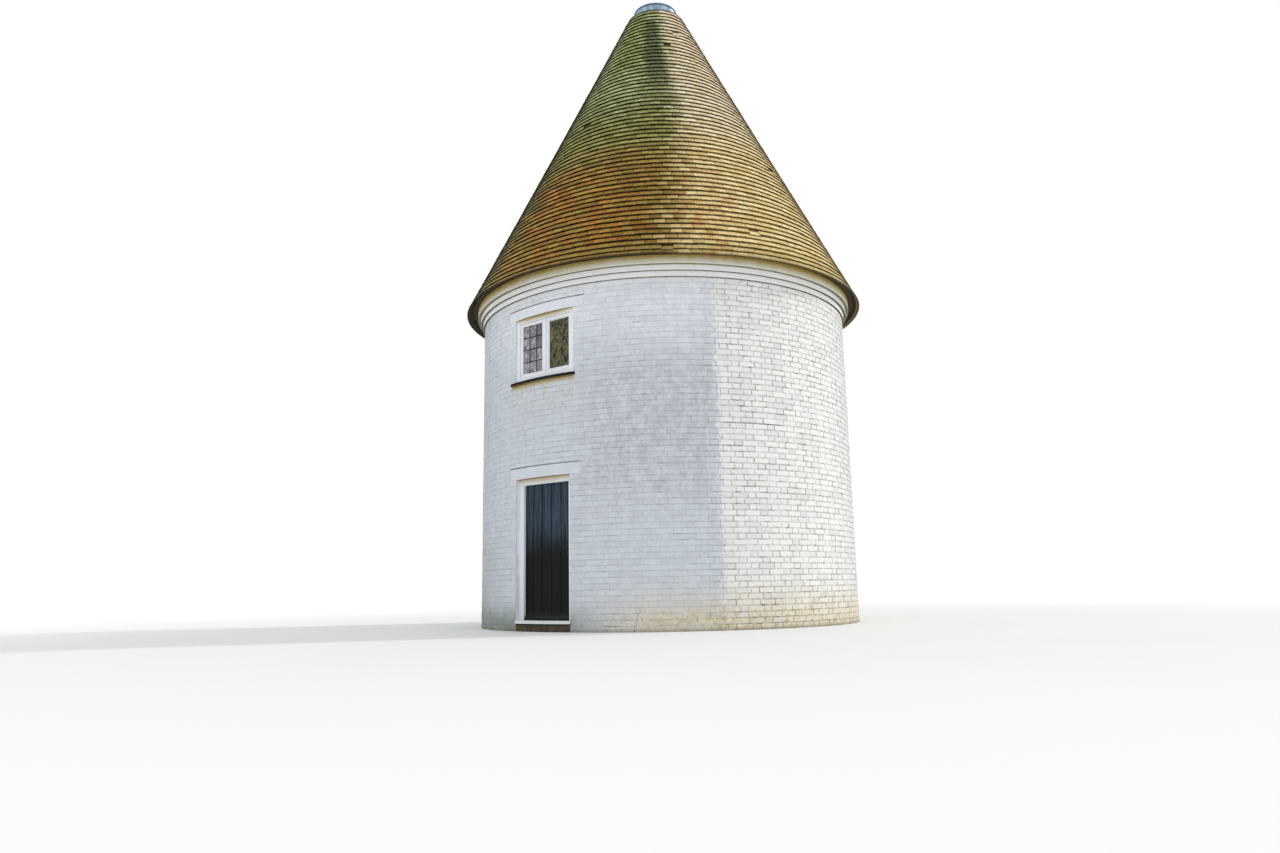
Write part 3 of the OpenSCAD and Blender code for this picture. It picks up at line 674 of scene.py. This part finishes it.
def make_step():
    """Worn, damp brick step under the threshold, with the threshold's painted shadow along its top."""
    s = Shader("step_brick", 0.9)
    colour = s.mix(s.blotches(0.35, 0.65, 9.0, 5.0), srgb(52, 44, 34), srgb(86, 72, 54))
    colour = s.wash(colour, srgb(62, 66, 40), s.blotches(0.55, 0.7, 14.0, 4.0, seed=5.0))
    # Painted shadow of the threshold along the top of the step
    s.colour(s.wash(colour, srgb(26, 24, 24), s.step(s.z, 0.080, 0.094)))
    s.bump(s.noise(40.0, 5.0), 0.006, 0.8)
    return s.material


BRICK_PAINT = make_brick_paint()
JOINT_PAINT = make_joint_paint()
RENDER_PAINT = make_render_paint()
CORBEL_PAINT = make_corbel_paint()
TILE = make_tile()
LINING = make_lining()
TIMBER = make_wood("old_timber", srgb(92, 68, 44), srgb(148, 116, 78), 0.75, (1, 1, 0.2))
FLOOR_WOOD = make_wood("floor_timber", srgb(110, 84, 56), srgb(160, 128, 88), 0.65, (0.08, 1, 1))
# Eaves fillet near-black: dark timber, darkened further as painted shade under the eaves
FILLET_WOOD = make_wood("eaves_timber", srgb(38, 28, 12), srgb(66, 52, 26), 0.85, (1, 1, 3))
JOINERY = make_joinery()
DOOR_PAINT = make_door_paint()
LEAD = make_lead()
CAME = make_metal("lead_cames", srgb(20, 22, 28), srgb(44, 48, 56), 0.6, 0.2, 60.0)
IRON = make_metal("black_iron", srgb(22, 24, 26), srgb(44, 44, 44), 0.45, 0.4, 50.0)
SLATE_STONE = make_slate()
# The glass colours are painted reflections: dark olive in the casement, pale grey in the fixed light
CLEAR_GLASS = make_glass("clear_glass", srgb(24, 28, 24), srgb(142, 140, 104), 0.3)
LEADED_GLASS = make_glass("leaded_glass", srgb(112, 107, 106), srgb(226, 222, 230), 0.15)
FLOOR_BRICK = make_floor_brick()
STEP = make_step()

NODE_MATERIALS = {
    JOINT_PAINT: ["door_pier_left", "door_pier_right", "wall_over_door", "window_pier_left",
                  "window_pier_right", "wall_over_window"] + [f"wall_{i}" for i in range(1, 7)],
    CORBEL_PAINT: ["corbel_1", "corbel_2", "corbel_3"],
    RENDER_PAINT: ["door_lintel", "window_lintel"],
    TIMBER: ["wall_plate", "floor_joists", "rafters", "purlin_rings", "curb_ring", "cap_drum"],
    FLOOR_WOOD: ["floor_boards"],
    FILLET_WOOD: ["eaves_fillet"],
    LEAD: ["lead_cap"],
    JOINERY: ["door_frame", "threshold", "window_frame", "fixed_sash", "casement_sash"],
    DOOR_PAINT: ["door_boards", "door_ledges", "weatherboard"],
    IRON: ["door_hinges", "door_knobs", "hinge_pintles"],
    SLATE_STONE: ["sill_slate"],
    CLEAR_GLASS: ["plain_glass"],
    FLOOR_BRICK: ["ground_floor"],
    STEP: ["door_step"],
}
for material, names in NODE_MATERIALS.items():
    for name in names:
        nodes[name].data.materials.clear()
        nodes[name].data.materials.append(material)


# Painted brickwork

# A brick with its joints
BRICK_LONG = 0.225
BRICK_WIDE = 0.1125
# Half of an open bed, of an open upright joint, and of a joint that paint has filled
BED_GAP = 0.003
PERP_GAP = 0.0011
FILLED_GAP = 0.0002
# Share of the upright joints and of the beds that paint has filled where the bricks are smooth
FILLED_PERPS = 0.8
FILLED_BEDS = 0.35
# Height of the lowest bricks over the ground, and the least width and height that are laid
GROUND_CLEAR = 0.002
LEAST_WIDE = 0.022
LEAST_HIGH = 0.0132
# Where the bricks turn from smooth to rough, in degrees from the front
ROUGH_FROM, ROUGH_TO = 40, 54
# Stepped crack at the foot, as the angles of its upright joints from the ground up
FOOT_CRACK = [27.4, 27.9, 28.3, 28.9]
# Beds that have opened, as two angles and the number of the course above
OPEN_BEDS = [(19.5, 23.7, 1), (51.5, 69.0, 35), (56.0, 60.0, 24), (-164.0, -152.0, 31), (118.0, 131.0, 18)]


def wall_hole(box, z0, z1, wider=0.0):
    """Part of the wall's face from side to side of a box and between two levels, as angles and levels."""
    return math.asin((box[0].x - wider) / WALL_R), math.asin((box[1].x + wider) / WALL_R), z0, z1


WALL_HOLES = [
    wall_hole(DOORWAY, -0.1, DOOR_LINTEL[0].z),
    wall_hole(DOOR_LINTEL, DOOR_LINTEL[0].z, DOOR_LINTEL[1].z + OPEN_JOINT),
    wall_hole(WINDOW, SLATE[0].z, WINDOW_LINTEL[0].z),
    wall_hole(WINDOW_LINTEL, WINDOW_LINTEL[0].z, WINDOW_LINTEL[1].z + OPEN_JOINT),
    wall_hole(SLATE, SLATE[0].z, SLATE[1].z, wider=0.004),
]


def cut(rectangles, hole):
    """Rectangles, each as two angles and two levels, with a rectangular hole taken out of them."""
    left = []
    h0, h1, k0, k1 = hole
    for a0, a1, z0, z1 in rectangles:
        if a1 <= h0 or a0 >= h1 or z1 <= k0 or z0 >= k1:
            left.append((a0, a1, z0, z1))
            continue
        low, high = max(a0, h0), min(a1, h1)
        if a0 < low:
            left.append((a0, low, z0, z1))
        if a1 > high:
            left.append((high, a1, z0, z1))
        if z0 < k0:
            left.append((low, high, z0, k0))
        if z1 > k1:
            left.append((low, high, k1, z1))
    return left


def wear(angle):
    """How rough the bricks are at an angle: smooth in front, rough round the sides and the back."""
    return ramp(apart(math.degrees(angle), 0), ROUGH_FROM, ROUGH_TO)


def add_brick(blocks, place, radius, relief, worn, rng):
    """One painted brick: a flat block on the chord between two angles, with rounded arrises.
    worn, from 0 to 1, opens its joints, tilts it and knocks its corners about."""
    a0, a1, z0, z1 = place
    side_gap = PERP_GAP * (1 + worn * rng.uniform(-0.5, 1.8))
    bed = BED_GAP * (1 + worn * rng.uniform(-0.4, 0.6))
    if rng.random() < FILLED_PERPS * (1 - worn):
        side_gap = FILLED_GAP
    if rng.random() < FILLED_BEDS * (1 - worn):
        bed = FILLED_GAP
    half = radius * (a1 - a0) / 2 - side_gap
    centre = (z0 + z1) / 2
    high = (z1 - z0) / 2 - bed
    middle = (a0 + a1) / 2
    out = Vector((math.sin(middle), -math.cos(middle), 0))
    side = Vector((math.cos(middle), math.sin(middle), 0))
    tilt = 0.004 + 0.016 * worn
    yaw, pitch, roll = rng.uniform(-tilt, tilt), rng.uniform(-tilt, tilt), rng.uniform(-0.004, 0.004)

    def ring(inset, depth, loose=0.0):
        """Four corners this far in from the brick's outline and this far out from the wall's face."""
        points = []
        for u, w in ((-1, -1), (1, -1), (1, 1), (-1, 1)):
            along = u * (half - inset * (0.35 + 0.65 * worn)) + rng.uniform(-loose, loose)
            up = w * (high - inset) + rng.uniform(-loose, loose)
            push = depth + along * yaw + up * pitch if depth > 0 else depth
            point = out * (radius + push) + side * along
            points.append((point.x, point.y, centre + up + along * roll))
        return points

    arris = min(0.004 + 0.004 * worn, half * 0.4)
    loose = 0.002 * worn
    rings = [ring(0, -0.006), ring(0.001, relief * 0.4, loose), ring(arris, relief, loose)]
    blocks.add(rings, {"arris": [1] * 8 + [0] * 4}, tone=rng.random() ** 2)


def lay_brick(blocks, place, sway, rng):
    """The brick of the wall at this place, or what the door and the window leave of it.
    sway lifts a whole brick, so that the beds of a course are not quite level."""
    worn = wear(place[0])
    relief = rng.uniform(0.0012, 0.0020) + worn * rng.uniform(0.0018, 0.0050)
    parts = [place]
    for hole in WALL_HOLES:
        parts = cut(parts, hole)
    for a0, a1, z0, z1 in parts:
        if (a1 - a0) * WALL_R < LEAST_WIDE or z1 - z0 < LEAST_HIGH:
            continue
        lift = sway if z0 > 0.01 and len(parts) == 1 else 0.0
        add_brick(blocks, (a0, a1, z0 + lift, z1 + lift), WALL_R, relief, worn, rng)


def lay_wall():
    """Courses of Flemish bond round the wall, headers over the middles of the stretchers below."""
    rng = random.Random(11)
    pairs = round(2 * math.pi * WALL_R / (BRICK_LONG + BRICK_WIDE))
    pitch = 2 * math.pi / pairs
    stretcher = pitch * 2 / 3
    blocks = Blocks()
    for course in range(WALL_COURSES):
        z0, z1 = max(GROUND_CLEAR, course * COURSE), (course + 1) * COURSE
        start = pitch / 2 * (course % 2) + rng.uniform(-0.003, 0.003)
        wave = rng.uniform(0, ANY_PHASE)
        for pair in range(pairs):
            first = start + pair * pitch - math.pi
            split = first + stretcher + rng.uniform(-0.0015, 0.0015)
            for a0, a1 in ((first, split), (split, first + pitch)):
                sway = 0.0014 * math.sin(3 * a0 + wave)
                lay_brick(blocks, (a0, a1, z0, z1), sway, rng)
    blocks.make("wall_bricks", BRICK_PAINT)


def lay_corbels():
    """Headers of the three steps under the eaves, and of the two courses over them."""
    rng = random.Random(5)
    blocks = Blocks()
    rows = [("corbel_1", 0), ("corbel_2", 0), ("corbel_3", 0), ("corbel_3", 1), ("corbel_3", 2)]
    for node, course in rows:
        low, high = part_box(node)
        radius = high.y
        z0 = low.z + course * COURSE
        count = round(2 * math.pi * radius / BRICK_WIDE)
        pitch = 2 * math.pi / count
        shift = rng.uniform(0, pitch)
        for i in range(count):
            a0 = shift + i * pitch
            relief = rng.uniform(0.001, 0.002)
            add_brick(blocks, (a0, a0 + pitch, z0, z0 + COURSE), radius, relief, 0.5 * wear(a0), rng)
    blocks.make("corbel_bricks", CORBEL_PAINT)


def add_crack(blocks, a0, a1, z0, z1):
    """Dark line where a joint has opened, from one end to the other, in degrees and metres."""
    runs = max(1, round(abs(a1 - a0) / 1.5))
    proud, sunk, half = 0.0035, -0.004, 0.0018
    rings = []
    for i in range(runs + 1):
        angle = math.radians(a0 + (a1 - a0) * i / runs)
        z = z0 + (z1 - z0) * i / runs
        across = (half / WALL_R, 0) if a0 == a1 else (0, half)
        rings.append([around(WALL_R + depth, angle + turn * across[0], z + turn * across[1])
                      for turn, depth in ((-1, sunk), (1, sunk), (1, proud), (-1, proud))])
    blocks.add(rings)


def open_cracks():
    """Joints that have opened: a stepped crack at the foot, and long beds higher up."""
    blocks = Blocks()
    for course, angle in enumerate(FOOT_CRACK):
        z0 = course * COURSE
        add_crack(blocks, angle, angle, z0 + 0.004, z0 + COURSE - 0.002)
        if course:
            add_crack(blocks, FOOT_CRACK[course - 1], angle, z0, z0)
    for a0, a1, course in OPEN_BEDS:
        add_crack(blocks, a0, a1, course * COURSE, course * COURSE)
    blocks.make("open_joints", STEP)


lay_wall()
lay_corbels()
open_cracks()


# Tiled cone

# A tile is thick at its tail and thin at its head, and its tail stands a little off the tile below
TAIL_T = 0.0135
HEAD_T = 0.005
TILE_LONG = 0.19
TILE_WIDE = 0.165
# How far a tile sinks from one course to the next, and how far the middle of the slope sags
DROP = 0.017
SAG = 0.010
# Tiles that have slipped, or gone: angle in degrees, height, and how far they slid
GONE = -1
LOST_TILES = [(90.0, 6.85, 0.05), (64.0, 5.33, 0.04), (-4.5, 7.69, GONE), (46.7, 9.32, GONE),
              (60.0, 9.7, 0.04), (38.0, 5.0, 0.03), (150.0, 7.4, GONE), (-120.0, 6.2, 0.05),
              (-145.0, 8.1, GONE)]


def slope_point(s, depth):
    """Radius and height of a point s metres up the slope and depth metres under its face."""
    t = s / SLOPE_LONG
    radius = EAVES_R + t * (ROOF_TOP_R - EAVES_R) - 4 * SAG * t * (1 - t)
    lean = (ROOF_TOP_R - EAVES_R) - 4 * SAG * (1 - 2 * t)
    size = math.hypot(lean, ROOF_RISE)
    return radius - depth * ROOF_RISE / size, EAVES_Z + t * ROOF_RISE + depth * lean / size


def lost_slide(degrees, height, pitch):
    """0 for a sound tile, else how far it has slid, or GONE."""
    for angle, z, slide in LOST_TILES:
        if abs(z - height) < 0.05 and apart(degrees, angle) < math.degrees(pitch) * 0.5:
            return slide
    return 0.0


def add_tile(blocks, middle, pitch, tail, sunk, loose, rng):
    """One tile with its tail this far up the slope and sunk under the face, with a little camber."""
    long = min(TILE_LONG, SLOPE_LONG - tail - 0.002)
    gap = pitch * rng.uniform(0.008, 0.022)
    skew = rng.uniform(-0.003, 0.003) * loose
    camber = rng.uniform(0.0005, 0.0025)
    rings = []
    for side in (-1, 0, 1):
        turn = middle + side * (pitch / 2 - gap)
        drop = max(0.0, sunk + camber * (side != 0) + side * rng.uniform(-0.0015, 0.0015) * loose)
        foot, head = max(0.0, tail + side * skew), tail + long
        fall = DROP * long / GAUGE
        section = [(foot, drop + TAIL_T), (foot, drop), (head, drop + fall), (head, drop + fall + HEAD_T)]
        ring = []
        for s, depth in section:
            r, z = slope_point(s, depth)
            ring.append(around(r, turn, min(z, ROOF_TOP_Z)))
        rings.append(ring)
    blocks.add(rings, {"along": [0, 0, long, long] * 3}, tone=rng.random())


def lay_tiles():
    """Courses of plain tiles from the eaves up, each over the heads of the two below.
    The tiles get narrower towards the top, and a first course is tucked under the eaves."""
    rng = random.Random(23)
    blocks = Blocks()
    for course in range(-1, TILE_COURSES):
        under_eaves = course < 0
        loose = 0.0 if course < 1 else 1.0
        tail = 0.004 if under_eaves else course * GAUGE
        radius, height = slope_point(tail, 0)
        wide = min(TILE_WIDE, 0.075 + 0.05 * radius)
        count = round(2 * math.pi * radius / wide)
        pitch = 2 * math.pi / count
        start = pitch * (0.5 * (course % 2) + rng.uniform(-0.12, 0.12))
        dip = rng.uniform(0, ANY_PHASE)
        for i in range(count):
            middle = start + i * pitch
            slide = 0.0 if under_eaves else lost_slide(math.degrees(middle), height, pitch)
            if slide == GONE:
                continue
            uneven = rng.uniform(0, 0.007) + 0.003 * math.sin(4 * middle + dip)
            low = max(0.0, tail - slide - uneven * loose)
            sunk = TAIL_T if under_eaves else rng.uniform(0, 0.003) * loose
            add_tile(blocks, middle, pitch, low, sunk, loose, rng)
    blocks.make("plain_tiles", TILE, ["roof_tiles"])


def lay_lining():
    """Shell under the tiles, swept round the axis: the battens and the backs of the tiles."""
    face, inside, end = 0.0375, 0.045, 0.035
    steps, segments = 12, 180
    up = [end + (SLOPE_LONG - 2 * end) * i / steps for i in range(steps + 1)]
    outline = [slope_point(s, face) for s in up] + [slope_point(s, inside) for s in reversed(up)]
    count = len(outline)
    blocks = Blocks()
    for i in range(segments):
        turn = 2 * math.pi * i / segments
        blocks.corners += [around(r, turn, z) for r, z in outline]
        low, high = i * count, (i + 1) % segments * count
        for j in range(count):
            k = (j + 1) % count
            blocks.faces.append([low + j, high + j, high + k, low + k])
    blocks.make("tile_backs", LINING, ["roof_tiles"])


def add_welt(blocks, radius, angle, z0, z1, half, proud):
    """Upright folded seam on the drum of the cap."""
    turn = half / radius
    outline = [(-turn, -0.002), (turn, -0.002), (turn * 0.7, proud), (-turn * 0.7, proud)]
    blocks.add([[around(radius + depth, angle + side, z) for side, depth in outline] for z in (z0, z1)])


def lay_welts():
    """Folded seams where the sheets of the lead cap join, from its skirt up to its rim."""
    drum_r = ROOF_TOP_R - 0.145
    foot, head = ROOF_TOP_Z + 0.024, CAP_TOP - RIM_HIGH
    blocks = Blocks()
    for degrees in range(18, 360, 60):
        add_welt(blocks, drum_r, math.radians(degrees), foot, head, 0.008, 0.004)
    blocks.make("lead_welts", LEAD)


lay_tiles()
lay_lining()
lay_welts()


# Window lights and ground floor

QUARRY_COLUMNS, QUARRY_ROWS = 3, 4


def lay_quarries():
    """Twelve small panes of the fixed light, each at its own slight tilt, and two of them dark."""
    low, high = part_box("leaded_glass")
    rng = random.Random(3)
    gap, inset = 0.0005, 0.0012
    wide, tall = (high.x - low.x) / QUARRY_COLUMNS, (high.z - low.z) / QUARRY_ROWS
    blocks = Blocks()
    for column in range(QUARRY_COLUMNS):
        for row in range(QUARRY_ROWS):
            x0, z0 = low.x + column * wide, low.z + row * tall
            across, upward = rng.uniform(-0.0006, 0.0006), rng.uniform(-0.0006, 0.0006)
            rings = []
            for w, z in ((-1, z0 + gap), (1, z0 + tall - gap)):
                left, right = [u * across + w * upward for u in (-1, 1)]
                x1 = x0 + wide - gap
                rings.append([(x0 + gap, low.y + inset + left, z), (x1, low.y + inset + right, z),
                              (x1, high.y - inset + right, z), (x0 + gap, high.y - inset + left, z)])
            dark = 1.0 if column == 2 and row >= 2 else rng.random() * 0.5
            blocks.add(rings, tone=dark)
    blocks.make("quarries", LEADED_GLASS, ["leaded_glass"])


def lay_cames():
    """Lead grid on both faces of the fixed light, its crossbars a little flatter than its uprights."""
    low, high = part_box("leaded_glass")
    half, proud, clear, flatter = 0.007, 0.0035, 0.001, 0.0004
    blocks = Blocks()
    for y in (low.y - proud, high.y):
        for i in range(1, QUARRY_COLUMNS):
            x = low.x + (high.x - low.x) * i / QUARRY_COLUMNS
            blocks.add(box_rings((x - half, y, low.z + clear), (x + half, y + proud, high.z - clear), 0.001))
        for j in range(1, QUARRY_ROWS):
            z = low.z + (high.z - low.z) * j / QUARRY_ROWS
            blocks.add(box_rings((low.x + clear, y + flatter, z - half),
                                 (high.x - clear, y + proud - flatter, z + half)))
    blocks.make("lead_cames", CAME)


def lay_putty():
    """Bevelled putty round the glass of the casement, mitred at its corners."""
    low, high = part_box("plain_glass")
    lip, size = 0.0095, 0.008
    x0, x1, z0, z1 = low.x + lip, high.x - lip, low.z + lip, high.z - lip
    outer = [(x0, z0), (x1, z0), (x1, z1), (x0, z1)]
    inner = [(x0 + size, z0 + size), (x1 - size, z0 + size), (x1 - size, z1 - size), (x0 + size, z1 - size)]
    blocks = Blocks()
    for i in range(4):
        blocks.add([[(outer[j][0], low.y, outer[j][1]), (outer[j][0], low.y - size, outer[j][1]),
                     (inner[j][0], low.y, inner[j][1])] for j in (i, (i + 1) % 4)])
    blocks.make("putty", JOINERY)


def lay_pavers():
    """Brick floor of the ground room, bedded a little proud of its slab."""
    rng = random.Random(7)
    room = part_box("ground_floor")[1]
    radius = room.x - 0.012
    gap, least = 0.004, 0.03
    rows = int(radius / BRICK_WIDE) + 1
    blocks = Blocks()
    for row in range(-rows, rows):
        y0, y1 = row * BRICK_WIDE, (row + 1) * BRICK_WIDE - gap
        reach = radius ** 2 - max(abs(y0), abs(y1)) ** 2
        if reach <= 0:
            continue
        edge = math.sqrt(reach)
        shift = BRICK_LONG / 2 * (row % 2)
        most = math.ceil(edge / BRICK_LONG) + 1
        for i in range(-most, most):
            x0 = max(-edge, i * BRICK_LONG + shift)
            x1 = min(edge, (i + 1) * BRICK_LONG + shift - gap)
            if x1 - x0 < least:
                continue
            top = room.z + rng.uniform(0.001, 0.003)
            blocks.add(box_rings((x0, y0, room.z - 0.01), (x1, y1, top), 0.003), tone=rng.random())
    blocks.make("pavers", FLOOR_BRICK)


lay_quarries()
lay_cames()
lay_putty()
lay_pavers()


# Floor, light and camera

def make_stage():
    """Pale floor, which turns white far from the tower for the camera, reflections and glass."""
    reach, corners = 60, 48
    s = Shader("stage_floor", 0.9)
    s.colour(s.mix(s.noise(0.5), srgb(234, 234, 232), srgb(238, 238, 237)))
    emission = s.node("ShaderNodeEmission", Color=(1, 1, 1, 1), Strength=1.0)
    seen = seen_rays(s.tree)
    distance = s.node("ShaderNodeVectorMath", {"operation": "LENGTH"}, Vector=s.place).outputs["Value"]
    far = s.step(distance, 6.0, 16.0)
    blend(s.tree, "Material Output", s.mul(seen, far), s.surface, emission)
    mesh = bpy.data.meshes.new("stage_floor")
    turns = [2 * math.pi * i / corners for i in range(corners)]
    rim = [(reach * math.cos(turn), reach * math.sin(turn), 0) for turn in turns]
    mesh.from_pydata(rim, [], [list(range(corners))])
    mesh.materials.append(s.material)
    floor = add_object("stage_floor", mesh)


def seen_rays(tree):
    """1 for rays from the camera, from a reflection or through glass, 0 for the rays that carry light."""
    path = tree.nodes.new("ShaderNodeLightPath")
    total = path.outputs["Is Camera Ray"]
    for name in ("Is Glossy Ray", "Is Transmission Ray"):
        most = tree.nodes.new("ShaderNodeMath")
        most.operation = "MAXIMUM"
        tree.links.new(total, most.inputs[0])
        tree.links.new(path.outputs[name], most.inputs[1])
        total = most.outputs[0]
    return total


def blend(tree, output, share, first, second):
    """Gives the output the first of two shader nodes, with this share of the second."""
    mixed = tree.nodes.new("ShaderNodeMixShader")
    for source, socket in zip((share, first.outputs[0], second.outputs[0]), mixed.inputs):
        tree.links.new(source, socket)
    tree.links.new(mixed.outputs[0], tree.nodes[output].inputs["Surface"])


def make_world():
    """Even sky light, white to the camera, in reflections and through glass."""
    world = bpy.data.worlds.new("studio")
    world.use_nodes = True
    tree = world.node_tree
    sky = tree.nodes["Background"]
    sky.inputs["Color"].default_value = (0.955, 0.97, 0.99, 1.0)
    sky.inputs["Strength"].default_value = 0.91
    white = tree.nodes.new("ShaderNodeBackground")
    white.inputs["Color"].default_value = (1, 1, 1, 1)
    white.inputs["Strength"].default_value = 1.0
    blend(tree, "World Output", seen_rays(tree), sky, white)
    bpy.context.scene.world = world


def make_sun():
    """Soft sunlight from the right, a little behind the tower, as in the photograph."""
    data = bpy.data.lights.new("sun", "SUN")
    data.energy = 1.25
    data.angle = math.radians(5)
    data.color = (1.0, 0.96, 0.89)
    lamp = add_object("sun", data)
    azimuth, height = math.radians(141), math.radians(30)
    towards = Vector(around(math.cos(height), azimuth, math.sin(height)))
    lamp.rotation_mode = "QUATERNION"
    lamp.rotation_quaternion = towards.to_track_quat("Z", "Y")


def make_camera():
    """The photograph's camera, low down at the right of the door. Its turns are in radians."""
    azimuth = math.radians(36.2)
    distance, eye = 14.652, 0.54
    turned_left, looks_up, roll = 0.0276, 0.1758, 0.0185
    place = Vector(around(distance, azimuth, eye))
    heading = Vector((-place.x, -place.y, 0)).normalized()
    heading.rotate(Matrix.Rotation(turned_left, 3, "Z"))
    upright = Vector((0, 0, 1))
    right = heading.cross(upright)
    forward = heading * math.cos(looks_up) + upright * math.sin(looks_up)
    above = right.cross(forward)
    rolled_right = right * math.cos(roll) - above * math.sin(roll)
    rolled_up = above * math.cos(roll) + right * math.sin(roll)
    turn = Matrix((rolled_right, rolled_up, -forward)).transposed()
    data = bpy.data.cameras.new("camera")
    data.sensor_width = 36
    data.lens = 25.682
    camera = add_object("camera", data)
    camera.matrix_world = Matrix.Translation(place) @ turn.to_4x4()
    bpy.context.scene.camera = camera


make_stage()
make_world()
make_sun()
make_camera()
bpy.context.scene.view_settings.view_transform = "Standard"
